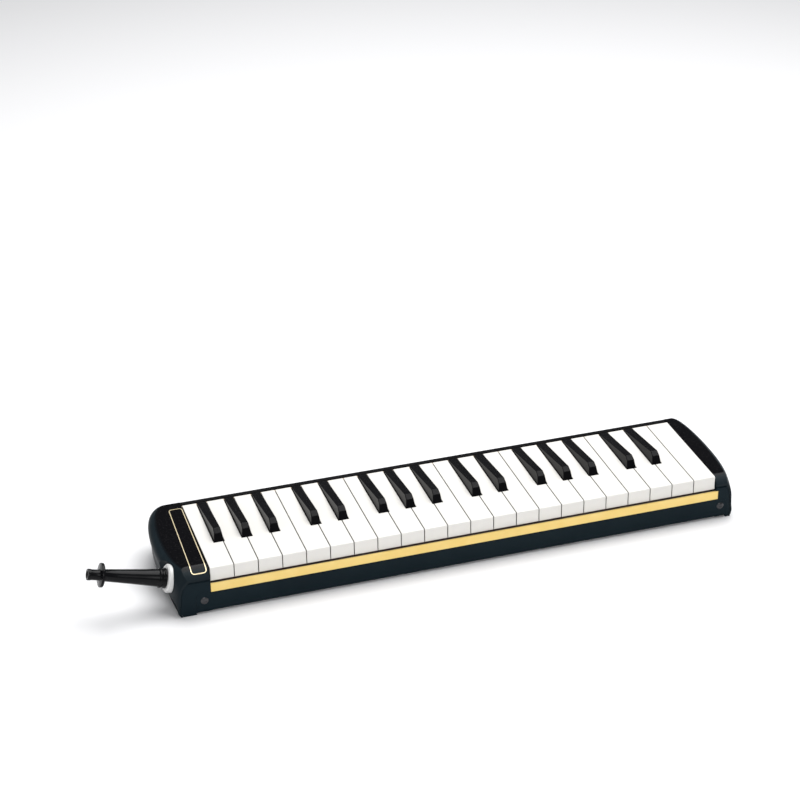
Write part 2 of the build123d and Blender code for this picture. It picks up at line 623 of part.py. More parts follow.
# The mouthpiece's axis points out of the left end and up. Profiles are drawn as (radius, way out).
MOUTH = Vector(end_x(LEFT_END, MOUTH_U), key_y(MOUTH_Y), MOUTH_Z)
MOUTH_OUT = Vector(-math.cos(TILT), 0, math.sin(TILT))
MOUTH_PLANE = Plane(origin=MOUTH, x_dir=(0, 1, 0), z_dir=(math.sin(TILT), 0, math.cos(TILT)))
MOUTH_AXIS = Axis(MOUTH, MOUTH_OUT)


def turned(profile):
    """A body turned about the mouthpiece's axis from a list of (radius, way out) corners."""
    with BuildPart() as body:
        with BuildSketch(MOUTH_PLANE):
            with BuildLine():
                Polyline(*profile, close=True)
            make_face()
        revolve(axis=MOUTH_AXIS)
    return body.part


collar_boss = turned([
    (0, -BOSS_LENGTH),
    (BOSS_RADIUS, -BOSS_LENGTH),
    (BOSS_RADIUS, BOSS_RADIUS),
    (0, BOSS_RADIUS),
])
collar_seat = turned([
    (0, -3 * BOSS_LENGTH),
    (COLLAR_SLEEVE_RADIUS + COLLAR_GAP, -3 * BOSS_LENGTH),
    (COLLAR_SLEEVE_RADIUS + COLLAR_GAP, -COLLAR_FLANGE),
    (COLLAR_RADIUS + COLLAR_GAP, -COLLAR_FLANGE),
    (COLLAR_RADIUS + COLLAR_GAP, -COLLAR_FLANGE / 2),
    (SCOOP_RADIUS, COLLAR_FLANGE),
    (SCOOP_RADIUS, 2 * BOSS_RADIUS),
    (0, 2 * BOSS_RADIUS),
])


def roll_cutter(side):
    """What lies above the rolled front of an end's top plate."""
    rise = CAP_ROLL_DROP
    run = CAP_ROLL_DEPTH
    radius = (run * run + rise * rise) / (2 * rise)
    middle = math.asin(run / radius) / 2
    rear = key_y(CAP_ROLL_DEPTH - FRONT_SET)
    edge = (rear - run, CASE_TOP_Z - rise)
    halfway = (rear - radius * math.sin(middle), CASE_TOP_Z - radius * (1 - math.cos(middle)))
    above = CASE_TOP_Z + CAP_ROLL_DROP
    with BuildPart() as cutter:
        with BuildSketch(Plane.YZ.offset(end_x(side, -4 * CAP_WALL))):
            with BuildLine():
                ThreePointArc(edge, halfway, (rear, CASE_TOP_Z))
                Polyline((rear, CASE_TOP_Z), (rear, above), (edge[0] - run, above), (edge[0] - run, edge[1]),
                         edge)
            make_face()
        extrude(amount=side * (8 * CAP_WALL + CAP_REACH_LEFT))
    return cutter.part


roll_cutters = {side: roll_cutter(side) for side in (LEFT_END, RIGHT_END)}
FRONT = key_y(-FRONT_SET)


def end_cap(side, name):
    """One end's moulded shell, open towards the keyboard, with room for its end block and the cover."""
    out = end_x(side, CAP_REACH_LEFT if side == LEFT_END else CAP_REACH_RIGHT)
    cover_end = (COVER_LEFT if side == LEFT_END else COVER_RIGHT) + COVER_GAP
    with BuildPart() as hollow:
        add(end_hollows[side])
        block(end_x(side, -5 * CAP_WALL), out, key_y(BLOCK_DEPTH - FRONT_SET + CAP_WALL), key_y(REAR_SET),
              0, CASE_TOP_Z, Mode.INTERSECT)
    with BuildPart() as room:
        add(cap_edges[side])
        block(end_x(side, -5 * CAP_WALL), out, FRONT - CAP_WALL, FRONT + BLOCK_DEPTH + BLOCK_GAP, -1,
              BLOCK_HEIGHT + BLOCK_GAP, Mode.INTERSECT)
    with BuildPart() as cap:
        add(end_solids[side])
        add(roll_cutters[side], mode=Mode.SUBTRACT)
        add(hollow.part, mode=Mode.SUBTRACT)
        if side == LEFT_END:
            add(left_boss)
            add(collar_seat, mode=Mode.SUBTRACT)
        add(room.part, mode=Mode.SUBTRACT)
        block(end_x(side, -5 * CAP_WALL), out, FRONT - 4 * CAP_WALL, FRONT, -1, CASE_TOP_Z, Mode.SUBTRACT)
        block(end_x(side, -5 * CAP_WALL), end_x(side, CAP_SEAM), FRONT - CAP_WALL, key_y(REAR_SET) + CAP_WALL,
              -1, CASE_TOP_Z + CAP_WALL, Mode.SUBTRACT)
        add(cover_room, mode=Mode.SUBTRACT)
        block(end_x(side, -CAP_WALL), end_x(side, cover_end), FRONT - CAP_WALL, key_y(REAR_SET + CAP_WALL),
              -1, COVER_Z + SHEET + COVER_GAP, Mode.SUBTRACT)
        screw_x = SCREW_XS[0] if side == LEFT_END else SCREW_XS[1]
        bar_y(screw_x, key_y(REAR_SET) - 2 * CAP_WALL, key_y(REAR_SET) + CAP_WALL, SCREW_Z,
              SCREW_RADIUS + SCREW_CLEARANCE, Mode.SUBTRACT)
        if side == RIGHT_END:
            bar_x(end_x(side, CAP_WALL), out, key_y(DRAIN_Y), DRAIN_Z, DRAIN_HEAD_RADIUS + DRAIN_CLEARANCE,
                  Mode.SUBTRACT)
    save(cap, name)


with BuildPart() as boss:
    add(end_solids[LEFT_END])
    add(collar_boss, mode=Mode.INTERSECT)
left_boss = boss.part
end_cap(LEFT_END, "left_end_cap")
end_cap(RIGHT_END, "right_end_cap")


def end_block(side):
    """The front corner block below an end cap's rolled edge, cut to the end's own outline."""
    reach = CAP_REACH_LEFT if side == LEFT_END else CAP_REACH_RIGHT
    screw_x = SCREW_XS[0] if side == LEFT_END else SCREW_XS[1]
    with BuildPart() as piece:
        add(end_solid(side, CAP_EDGE + BLOCK_GAP, 0, CASE_TOP_Z - CAP_EDGE))
        block(end_x(side, CAP_SEAM), end_x(side, reach), FRONT, FRONT + BLOCK_DEPTH, 0, BLOCK_HEIGHT,
              Mode.INTERSECT)
        top_front = piece.edges().group_by(Axis.Z)[-1].filter_by(Axis.X).sort_by(Axis.Y)[0]
        chamfer(top_front, BLOCK_BEVEL)
        add(cover_room, mode=Mode.SUBTRACT)
        cover_end = (COVER_LEFT if side == LEFT_END else COVER_RIGHT) + COVER_GAP
        block(end_x(side, -CAP_WALL), end_x(side, cover_end), FRONT - CAP_WALL, FRONT + 2 * BLOCK_DEPTH, -1,
              COVER_Z + SHEET + COVER_GAP, Mode.SUBTRACT)
        if side == RIGHT_END:
            block(end_x(side, -CAP_WALL), end_x(side, STRIP_RIGHT + COVER_GAP), FRONT - CAP_WALL,
                  FRONT + SHEET + COVER_GAP, STRIP_Z - COVER_GAP, STRIP_TOP_Z + COVER_GAP, Mode.SUBTRACT)
        bar_y(screw_x, FRONT, FRONT + 2 * BLOCK_DEPTH, SCREW_Z, SCREW_RADIUS + SCREW_CLEARANCE, Mode.SUBTRACT)
    return piece.part


block_parts = [end_block(side) for side in (LEFT_END, RIGHT_END)]
with BuildPart() as end_blocks:
    add(block_parts)
save(end_blocks, "end_blocks")


# ------------------------------------------------------------------ mouthpiece, collar and duct

plug = MOUTH_PLUG_RADIUS
neck_way = MOUTH_RIM + MOUTH_STEP
bead_way = neck_way + MOUTH_NECK
flange_way = MOUTH_LENGTH - FLANGE_TO_TIP
tip_neck_way = MOUTH_LENGTH - TIP_NECK_START
swell_way = MOUTH_LENGTH - TIP_SWELL
mouth_body = turned([
    (plug - MOUTH_WALL, -MOUTH_PLUG),
    (plug, -MOUTH_PLUG),
    (plug, MOUTH_SLIP),
    (plug + MOUTH_RIM_OVER, MOUTH_SLIP),
    (plug + MOUTH_RIM_OVER, MOUTH_RIM),
    (plug + MOUTH_NECK_OVER, neck_way),
    (plug + MOUTH_NECK_OVER, bead_way - MOUTH_STEP),
    (plug + MOUTH_BEAD_OVER, bead_way),
    (plug + MOUTH_BEAD_OVER, bead_way + MOUTH_BEAD),
    (plug + CONE_OVER, CONE_START),
    (CONE_RADIUS, flange_way - 2 * MOUTH_STEP),
    (CONE_RADIUS + MOUTH_STEP, flange_way),
    (FLANGE_RADIUS, flange_way),
    (FLANGE_RADIUS, flange_way + FLANGE),
    (MOUTH_TIP_RADIUS, flange_way + FLANGE + MOUTH_STEP),
    (TIP_NECK_RADIUS, tip_neck_way),
    (TIP_NECK_RADIUS, swell_way - MOUTH_STEP),
    (MOUTH_TIP_RADIUS, swell_way),
    (MOUTH_TIP_RADIUS, MOUTH_LENGTH),
    (MOUTH_TIP_BORE, MOUTH_LENGTH),
])
with BuildPart() as mouthpiece:
    add(mouth_body)
    rings = mouthpiece.edges().filter_by(GeomType.CIRCLE)
    fillet(rings.group_by(SortBy.RADIUS)[-1], FLANGE_ROUND)
    rings = mouthpiece.edges().filter_by(GeomType.CIRCLE)
    end_way = swell_way + MOUTH_STEP
    end_rings = rings.filter_by(lambda ring: (ring.arc_center - MOUTH).dot(MOUTH_OUT) > end_way)
    fillet(end_rings.sort_by(SortBy.RADIUS)[-1], MOUTH_TIP_ROUND)
save(mouthpiece, "mouthpiece")

RING_WAY = -(MOUTH_PLUG + COLLAR_SLEEVE) / 2  # O-ring's place along the axis
groove_radius = COLLAR_SLEEVE_RADIUS - 2 * RING_RADIUS + RING_SQUEEZE
seat_end = -COLLAR_FLANGE + MOUTH_SLIP
collar_body = turned([
    (plug + MOUTH_SLIP, 0),
    (COLLAR_RADIUS - COLLAR_BEVEL, 0),
    (COLLAR_RADIUS, -COLLAR_BEVEL),
    (COLLAR_RADIUS, seat_end),
    (COLLAR_SLEEVE_RADIUS, seat_end),
    (COLLAR_SLEEVE_RADIUS, RING_WAY + 2 * RING_RADIUS),
    (groove_radius, RING_WAY + 2 * RING_RADIUS),
    (groove_radius, RING_WAY - 2 * RING_RADIUS),
    (COLLAR_SLEEVE_RADIUS, RING_WAY - 2 * RING_RADIUS),
    (COLLAR_SLEEVE_RADIUS, -COLLAR_SLEEVE),
    (plug - COLLAR_STEP, -COLLAR_SLEEVE),
    (plug - COLLAR_STEP, -MOUTH_PLUG - MOUTH_SLIP),
    (plug + MOUTH_SLIP, -MOUTH_PLUG - MOUTH_SLIP),
])
with BuildPart() as mouthpiece_collar:
    add(collar_body)
save(mouthpiece_collar, "mouthpiece_collar")

duct_bore = COLLAR_SLEEVE_RADIUS + DUCT_SLIP
duct_tube = turned([
    (0, -COLLAR_SLEEVE),
    (duct_bore + DUCT_TUBE_WALL, -COLLAR_SLEEVE),
    (duct_bore + DUCT_TUBE_WALL, -BOSS_LENGTH - MOUTH_SLIP),
    (0, -BOSS_LENGTH - MOUTH_SLIP),
])
way_end = -COLLAR_SLEEVE - DUCT_WALL
duct_way = turned([(0, way_end), (duct_bore, way_end), (duct_bore, 0), (0, 0)])
DUCT_LOW_Z = CAP_FLOOR + JOINT_GAP
with BuildPart() as inlet_duct:
    x_out, x_in = end_x(LEFT_END, DUCT_OUT), end_x(LEFT_END, DUCT_IN)
    y_front = key_y(MOUTH_Y - DUCT_FRONT_SIDE)
    y_rear = key_y(WINDOW_FRONT + WINDOW_LENGTH + 2 * DUCT_WALL)
    block(x_out, x_in, y_front, y_rear, DUCT_LOW_Z, DUCT_TOP_Z)
    add(duct_tube)
    block(x_out + DUCT_WALL, x_in - DUCT_WALL, y_front + DUCT_WALL, y_rear - DUCT_WALL,
          DUCT_LOW_Z + DUCT_WALL, DUCT_TOP_Z - DUCT_WALL, Mode.SUBTRACT)
    add(duct_way, mode=Mode.SUBTRACT)
    block(x_in - 2 * DUCT_WALL, x_in + DUCT_WALL, key_y(WINDOW_FRONT), key_y(WINDOW_FRONT + WINDOW_LENGTH),
          WINDOW_Z, GASKET_Z - TUB_FLANGE - WINDOW_LIP, Mode.SUBTRACT)
save(inlet_duct, "inlet_duct")


# ------------------------------------------------------------------ reeds and wind chamber


def note_share(number):
    """0 at the lowest note, 1 at the highest."""
    return number / (len(NOTES) - 1)


def reed_length(number):
    """Free length of a note's reed."""
    return REED_LONG + (REED_SHORT - REED_LONG) * note_share(number)


def reed_width(number):
    """Width of a note's reed."""
    return REED_WIDE + (REED_NARROW - REED_WIDE) * note_share(number)


with BuildPart() as reed_block:
    block(FRAME_LEFT, FRAME_RIGHT, key_y(BLOCK_FRONT), key_y(BLOCK_REAR), BLOCK_Z, FRAME_Z)
    for number, centre in enumerate(TAIL_CENTRES):
        block(centre - CELL_WIDTH / 2, centre + CELL_WIDTH / 2,
              key_y(REED_TIP_Y - reed_length(number)), key_y(PAD_REAR), BLOCK_Z, FRAME_Z, Mode.SUBTRACT)
    with Locations(*[(x, y, BLOCK_Z) for x in INNER_XS for y in INNER_YS]):
        Cylinder(INNER_SCREW_RADIUS + SCREW_CLEARANCE, 2 * INNER_SCREW_LENGTH, mode=Mode.SUBTRACT)
save(reed_block, "reed_block")

PLATE_SPLIT = (TAIL_CENTRES[PLATE_NOTES - 1] + TAIL_CENTRES[PLATE_NOTES]) / 2
PLATE_LOW_Z = BLOCK_Z - PLATE
plate_left = FRAME_LEFT + TUB_WALL + PLATE_GAP
plate_right = FRAME_RIGHT - TUB_WALL - PLATE_GAP
with BuildPart() as reed_plates:
    for x0, x1 in ((plate_left, PLATE_SPLIT - PLATE_GAP / 2), (PLATE_SPLIT + PLATE_GAP / 2, plate_right)):
        block(x0, x1, key_y(PLATE_FRONT), key_y(PLATE_REAR), PLATE_LOW_Z, BLOCK_Z)
    for number, centre in enumerate(TAIL_CENTRES):
        half = reed_width(number) / 2 + REED_SLOT_GAP
        block(centre - half, centre + half, key_y(REED_TIP_Y - reed_length(number)),
              key_y(REED_TIP_Y + REED_SLOT_GAP), PLATE_LOW_Z, BLOCK_Z, Mode.SUBTRACT)
save(reed_plates, "reed_plates")

with BuildPart() as reeds:
    for number, centre in enumerate(TAIL_CENTRES):
        half = reed_width(number) / 2
        root = key_y(REED_TIP_Y - reed_length(number))
        block(centre - half, centre + half, root - REED_FOOT, key_y(REED_TIP_Y), PLATE_LOW_Z - REED,
              PLATE_LOW_Z)
        with Locations((centre, root - REED_FOOT / 2, PLATE_LOW_Z - REED - GLUE_LINE - RIVET_HEAD / 2)):
            Cylinder(RIVET_RADIUS, RIVET_HEAD)
save(reeds, "reeds")

TUB_LEFT = FRAME_LEFT + JOINT_GAP
TUB_RIGHT = FRAME_RIGHT - JOINT_GAP
with BuildPart() as wind_chamber:
    block(TUB_LEFT, TUB_RIGHT, key_y(TUB_FRONT), key_y(TUB_REAR), TUB_Z, TUB_TOP_Z)
    block(TUB_LEFT, TUB_RIGHT, key_y(BLOCK_FRONT), key_y(BLOCK_REAR), TUB_TOP_Z - TUB_FLANGE, TUB_TOP_Z)
    block(TUB_LEFT + TUB_WALL, TUB_RIGHT - TUB_WALL, key_y(TUB_FRONT + TUB_WALL), key_y(TUB_REAR - TUB_WALL),
          TUB_Z + TUB_FLOOR, TUB_TOP_Z, Mode.SUBTRACT)
    block(TUB_LEFT - TUB_WALL, TUB_LEFT + 2 * TUB_WALL, key_y(WINDOW_FRONT),
          key_y(WINDOW_FRONT + WINDOW_LENGTH), WINDOW_Z, TUB_TOP_Z - TUB_FLANGE - WINDOW_LIP, Mode.SUBTRACT)
    bar_x(TUB_RIGHT - 2 * TUB_WALL, TUB_RIGHT + TUB_WALL, key_y(DRAIN_Y), DRAIN_Z, DRAIN_HOLE_RADIUS,
          Mode.SUBTRACT)
    with Locations(*[(x, y, TUB_TOP_Z) for x in INNER_XS for y in INNER_YS]):
        Cylinder(INNER_SCREW_RADIUS + COVER_HOLE_CLEARANCE, 4 * TUB_FLANGE, mode=Mode.SUBTRACT)
save(wind_chamber, "wind_chamber")

with BuildPart() as chamber_gasket:
    block(TUB_LEFT, TUB_RIGHT, key_y(BLOCK_FRONT), key_y(BLOCK_REAR), GASKET_Z, BLOCK_Z)
    block(TUB_LEFT + TUB_WALL, TUB_RIGHT - TUB_WALL, key_y(TUB_FRONT + TUB_WALL), key_y(TUB_REAR - TUB_WALL),
          GASKET_Z, BLOCK_Z, Mode.SUBTRACT)
    with Locations(*[(x, y, GASKET_Z) for x in INNER_XS for y in INNER_YS]):
        Cylinder(INNER_SCREW_RADIUS + COVER_HOLE_CLEARANCE, 4 * GASKET, mode=Mode.SUBTRACT)

with BuildPart() as duct_gasket:
    block(end_x(LEFT_END, DUCT_IN), TUB_LEFT, key_y(WINDOW_FRONT - DUCT_WALL),
          key_y(WINDOW_FRONT + WINDOW_LENGTH + DUCT_WALL), DUCT_LOW_Z, TUB_TOP_Z - TUB_FLANGE)
    block(end_x(LEFT_END, DUCT_IN), TUB_LEFT, key_y(WINDOW_FRONT), key_y(WINDOW_FRONT + WINDOW_LENGTH),
          WINDOW_Z, TUB_TOP_Z - TUB_FLANGE - WINDOW_LIP, Mode.SUBTRACT)

with BuildPart() as ring_seal:
    with BuildSketch(MOUTH_PLANE):
        with Locations((groove_radius + RING_RADIUS + GLUE_LINE, RING_WAY)):
            Circle(RING_RADIUS)
    revolve(axis=MOUTH_AXIS)

with BuildPart() as air_seals:
    add(chamber_gasket.part)
    add(duct_gasket.part)
    add(ring_seal.part)
save(air_seals, "air_seals")


# ------------------------------------------------------------------ drain valve

DRAIN_HEAD_IN = DRAIN_REACH - DRAIN_HEAD_LENGTH
seat_x = TUB_RIGHT - TUB_WALL
with BuildPart() as drain_button:
    y, z = key_y(DRAIN_Y), DRAIN_Z
    bar_x(end_x(RIGHT_END, DRAIN_HEAD_IN), end_x(RIGHT_END, DRAIN_REACH), y, z, DRAIN_HEAD_RADIUS)
    fillet(drain_button.edges().sort_by(Axis.X)[-1], DRAIN_HEAD_RADIUS / 5)
    bar_x(seat_x - DRAIN_SEAL, end_x(RIGHT_END, DRAIN_HEAD_IN), y, z, DRAIN_STEM_RADIUS)
    bar_x(seat_x - DRAIN_SEAL - GLUE_LINE, seat_x - GLUE_LINE, y, z, DRAIN_STEM_RADIUS + GLUE_LINE,
          Mode.SUBTRACT)
    bar_x(seat_x - DRAIN_SEAL - GLUE_LINE, seat_x - GLUE_LINE, y, z, DRAIN_SEAL_RADIUS)
save(drain_button, "drain_button")

drain_spring_length = DRAIN_HEAD_IN - (TUB_RIGHT - KEYS_RIGHT) - 2 * (SPRING_CLEARANCE + SPRING_WIRE)
drain_coil = coil_spring(DRAIN_STEM_RADIUS + DRAIN_COIL, SPRING_WIRE, drain_spring_length, SPRING_TURNS)
with BuildPart() as drain_spring:
    coil_x = TUB_RIGHT + SPRING_CLEARANCE + SPRING_WIRE
    with Locations(Location((coil_x, key_y(DRAIN_Y), DRAIN_Z), (0, 90, 0))):
        add(drain_coil)
save(drain_spring, "drain_spring")


# ------------------------------------------------------------------ screws


def pan_screw(radius, length, head_radius, head):
    """A cross-head screw that points down, the underside of its head on Z = 0."""
    with BuildPart() as screw:
        with Locations((0, 0, head / 2)):
            Cylinder(head_radius, head)
        fillet(screw.edges().sort_by(Axis.Z)[-1], head / 2)
        with Locations((0, 0, -length / 2)):
            Cylinder(radius, length)
        chamfer(screw.edges().sort_by(Axis.Z)[0], radius / 3)
        for turn in (0, 90):
            with Locations(Location((0, 0, head), (0, 0, turn))):
                Box(head_radius * 1.1, head_radius / 4, head, mode=Mode.SUBTRACT)
    return screw.part


case_screw = pan_screw(SCREW_RADIUS, SCREW_LENGTH - SHEET, SCREW_HEAD_RADIUS, SCREW_HEAD)
flat_screw = pan_screw(SCREW_RADIUS, SCREW_LENGTH - SHEET, SCREW_HEAD_RADIUS, UNDER_HEAD)
with BuildPart() as cover_screws:
    for screw_x in SCREW_XS:
        with Locations(Location((screw_x, key_y(-FRONT_SET), SCREW_Z), (90, 0, 0))):
            add(case_screw)
        with Locations(Location((screw_x, key_y(REAR_SET), SCREW_Z), (-90, 0, 0))):
            add(case_screw)
    for column_x in COLUMN_XS:
        with Locations(Location((column_x, key_y(COLUMN_Y), COVER_Z), (180, 0, 0))):
            add(flat_screw)
save(cover_screws, "cover_screws")

chamber_screw = pan_screw(INNER_SCREW_RADIUS, INNER_SCREW_LENGTH, INNER_HEAD_RADIUS, INNER_HEAD)
with BuildPart() as chamber_screws:
    screw_z = TUB_TOP_Z - TUB_FLANGE
    with Locations(*[Location((x, y, screw_z), (180, 0, 0)) for x in INNER_XS for y in INNER_YS]):
        add(chamber_screw)
save(chamber_screws, "chamber_screws")
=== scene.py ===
"""Looks of a 37-key melodica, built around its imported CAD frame.

Each sub-assembly is a class that holds its sizes, builds its meshes and dresses them. Lengths in the
classes are millimetres and are turned into metres where a mesh is made.
"""

import logging
import math
from collections.abc import Iterable, Sequence
from dataclasses import dataclass, field
from enum import Enum

import bmesh
import bpy
from mathutils import Matrix, Vector, noise


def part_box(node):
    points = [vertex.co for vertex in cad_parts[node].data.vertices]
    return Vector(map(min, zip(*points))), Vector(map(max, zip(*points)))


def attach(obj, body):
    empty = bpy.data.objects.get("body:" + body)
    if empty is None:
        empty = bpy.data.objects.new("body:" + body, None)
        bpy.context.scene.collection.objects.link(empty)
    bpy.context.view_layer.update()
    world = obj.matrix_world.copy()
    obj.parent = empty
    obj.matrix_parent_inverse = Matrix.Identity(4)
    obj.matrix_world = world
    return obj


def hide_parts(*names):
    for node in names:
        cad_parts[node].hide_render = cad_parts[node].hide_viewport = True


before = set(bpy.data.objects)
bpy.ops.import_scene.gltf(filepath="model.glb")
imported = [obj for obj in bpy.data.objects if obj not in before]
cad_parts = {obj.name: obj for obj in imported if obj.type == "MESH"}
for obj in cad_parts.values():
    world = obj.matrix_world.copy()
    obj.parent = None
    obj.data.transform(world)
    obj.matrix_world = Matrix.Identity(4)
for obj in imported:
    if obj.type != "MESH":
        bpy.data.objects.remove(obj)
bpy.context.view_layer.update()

MM = 0.001
LOG = logging.getLogger("melodica")

Colour = tuple[float, float, float]
Point = tuple[float, float, float]


class Body(Enum):
    """The moving bodies that new pieces ride on."""

    CASE = "case"
    MOUTHPIECE = "mouthpiece"
    DRAIN = "drain_button"


class Noise(Enum):
    """How a grain pattern is stretched on a surface."""

    EVEN = (1.0, 1.0, 1.0)
    ALONG_X = (0.03, 1.0, 1.0)
    ALONG_Y = (1.0, 0.05, 1.0)


# ---------------------------------------------------------------- shader node groups


def add_socket(tree: bpy.types.NodeTree, name: str, direction: str, kind: str,
               default: float | Sequence[float] | None = None) -> None:
    """Adds a named socket to a node group's interface.

    Args:
        tree: The node group.
        name: The socket's name.
        direction: "INPUT" or "OUTPUT".
        kind: The socket type, such as "NodeSocketFloat".
        default: Value used where nothing is set.
    """
    socket = tree.interface.new_socket(name=name, in_out=direction, socket_type=kind)
    if default is not None:
        socket.default_value = default


def shade(tree: bpy.types.NodeTree, kind: str, **values: object) -> bpy.types.Node:
    """Adds a shader node and sets its properties.

    Args:
        tree: The tree that gets the node.
        kind: The node's type name.
        **values: Properties of the node, such as operation.

    Returns:
        The new node.
    """
    node = tree.nodes.new(kind)
    for key, value in values.items():
        setattr(node, key, value)
    return node


class SurfaceGroups:
    """The shader effects that several finishes share, each built once as a node group."""

    def __init__(self) -> None:
        """Builds the groups."""
        self.drift = self._drift()
        self.handling = self._handling()
        self.grain = self._grain()
        self.dust = self._dust()

    @staticmethod
    def _drift() -> bpy.types.NodeTree:
        """Slow colour change over a surface, as in moulded or painted parts."""
        tree = bpy.data.node_groups.new("colour_drift", "ShaderNodeTree")
        add_socket(tree, "Vector", "INPUT", "NodeSocketVector")
        add_socket(tree, "Main Colour", "INPUT", "NodeSocketColor", (0.5, 0.5, 0.5, 1))
        add_socket(tree, "Other Colour", "INPUT", "NodeSocketColor", (0.5, 0.5, 0.5, 1))
        add_socket(tree, "Patches per Metre", "INPUT", "NodeSocketFloat", 30.0)
        add_socket(tree, "Colour", "OUTPUT", "NodeSocketColor")
        inside, outside = shade(tree, "NodeGroupInput"), shade(tree, "NodeGroupOutput")
        cloud = shade(tree, "ShaderNodeTexNoise")
        cloud.inputs["Detail"].default_value = 3.0
        spread = shade(tree, "ShaderNodeMapRange")
        spread.inputs["From Min"].default_value = 0.35
        spread.inputs["From Max"].default_value = 0.68
        mix = shade(tree, "ShaderNodeMix", data_type="RGBA")
        tree.links.new(inside.outputs["Vector"], cloud.inputs["Vector"])
        tree.links.new(inside.outputs["Patches per Metre"], cloud.inputs["Scale"])
        tree.links.new(cloud.outputs["Fac"], spread.inputs["Value"])
        tree.links.new(spread.outputs["Result"], mix.inputs["Factor"])
        tree.links.new(inside.outputs["Main Colour"], mix.inputs["A"])
        tree.links.new(inside.outputs["Other Colour"], mix.inputs["B"])
        tree.links.new(mix.outputs["Result"], outside.inputs["Colour"])
        return tree

    @staticmethod
    def _handling() -> bpy.types.NodeTree:
        """Roughness with the faint smears that hands and wiping leave."""
        tree = bpy.data.node_groups.new("handling_marks", "ShaderNodeTree")
        add_socket(tree, "Vector", "INPUT", "NodeSocketVector")
        add_socket(tree, "Roughness", "INPUT", "NodeSocketFloat", 0.3)
        add_socket(tree, "Smear", "INPUT", "NodeSocketFloat", 0.05)
        add_socket(tree, "Roughness", "OUTPUT", "NodeSocketFloat")
        inside, outside = shade(tree, "NodeGroupInput"), shade(tree, "NodeGroupOutput")
        cloud = shade(tree, "ShaderNodeTexNoise")
        cloud.inputs["Scale"].default_value = 55.0
        cloud.inputs["Detail"].default_value = 5.0
        cloud.inputs["Distortion"].default_value = 0.6
        centre = shade(tree, "ShaderNodeMath", operation="SUBTRACT")
        centre.inputs[1].default_value = 0.4
        scale = shade(tree, "ShaderNodeMath", operation="MULTIPLY")
        total = shade(tree, "ShaderNodeMath", operation="ADD", use_clamp=True)
        tree.links.new(inside.outputs["Vector"], cloud.inputs["Vector"])
        tree.links.new(cloud.outputs["Fac"], centre.inputs[0])
        tree.links.new(centre.outputs[0], scale.inputs[0])
        tree.links.new(inside.outputs["Smear"], scale.inputs[1])
        tree.links.new(scale.outputs[0], total.inputs[0])
        tree.links.new(inside.outputs["Roughness"], total.inputs[1])
        tree.links.new(total.outputs[0], outside.inputs["Roughness"])
        return tree

    @staticmethod
    def _grain() -> bpy.types.NodeTree:
        """Fine height of a moulded, painted or brushed surface."""
        tree = bpy.data.node_groups.new("surface_grain", "ShaderNodeTree")
        add_socket(tree, "Vector", "INPUT", "NodeSocketVector")
        add_socket(tree, "Grains per Metre", "INPUT", "NodeSocketFloat", 2000.0)
        add_socket(tree, "Stretch", "INPUT", "NodeSocketVector", (1.0, 1.0, 1.0))
        add_socket(tree, "Height", "OUTPUT", "NodeSocketFloat")
        inside, outside = shade(tree, "NodeGroupInput"), shade(tree, "NodeGroupOutput")
        stretch = shade(tree, "ShaderNodeVectorMath", operation="MULTIPLY")
        fine = shade(tree, "ShaderNodeTexNoise")
        fine.inputs["Detail"].default_value = 2.0
        tree.links.new(inside.outputs["Vector"], stretch.inputs[0])
        tree.links.new(inside.outputs["Stretch"], stretch.inputs[1])
        tree.links.new(stretch.outputs[0], fine.inputs["Vector"])
        tree.links.new(inside.outputs["Grains per Metre"], fine.inputs["Scale"])
        tree.links.new(fine.outputs["Fac"], outside.inputs["Height"])
        return tree

    @staticmethod
    def _dust() -> bpy.types.NodeTree:
        """Mask of the thin dust that settles on faces turned upwards."""
        tree = bpy.data.node_groups.new("settled_dust", "ShaderNodeTree")
        add_socket(tree, "Vector", "INPUT", "NodeSocketVector")
        add_socket(tree, "Amount", "INPUT", "NodeSocketFloat", 0.02)
        add_socket(tree, "Mask", "OUTPUT", "NodeSocketFloat")
        inside, outside = shade(tree, "NodeGroupInput"), shade(tree, "NodeGroupOutput")
        facing = shade(tree, "ShaderNodeNewGeometry")
        split = shade(tree, "ShaderNodeSeparateXYZ")
        upward = shade(tree, "ShaderNodeMapRange")
        upward.inputs["From Min"].default_value = 0.5
        cloud = shade(tree, "ShaderNodeTexNoise")
        cloud.inputs["Scale"].default_value = 900.0
        cloud.inputs["Detail"].default_value = 4.0
        specks = shade(tree, "ShaderNodeMapRange")
        specks.inputs["From Min"].default_value = 0.52
        specks.inputs["From Max"].default_value = 0.75
        both = shade(tree, "ShaderNodeMath", operation="MULTIPLY")
        amount = shade(tree, "ShaderNodeMath", operation="MULTIPLY", use_clamp=True)
        tree.links.new(facing.outputs["Normal"], split.inputs[0])
        tree.links.new(split.outputs["Z"], upward.inputs["Value"])
        tree.links.new(inside.outputs["Vector"], cloud.inputs["Vector"])
        tree.links.new(cloud.outputs["Fac"], specks.inputs["Value"])
        tree.links.new(upward.outputs["Result"], both.inputs[0])
        tree.links.new(specks.outputs["Result"], both.inputs[1])
        tree.links.new(both.outputs[0], amount.inputs[0])
        tree.links.new(inside.outputs["Amount"], amount.inputs[1])
        tree.links.new(amount.outputs[0], outside.inputs["Mask"])
        return tree


# ---------------------------------------------------------------- finishes


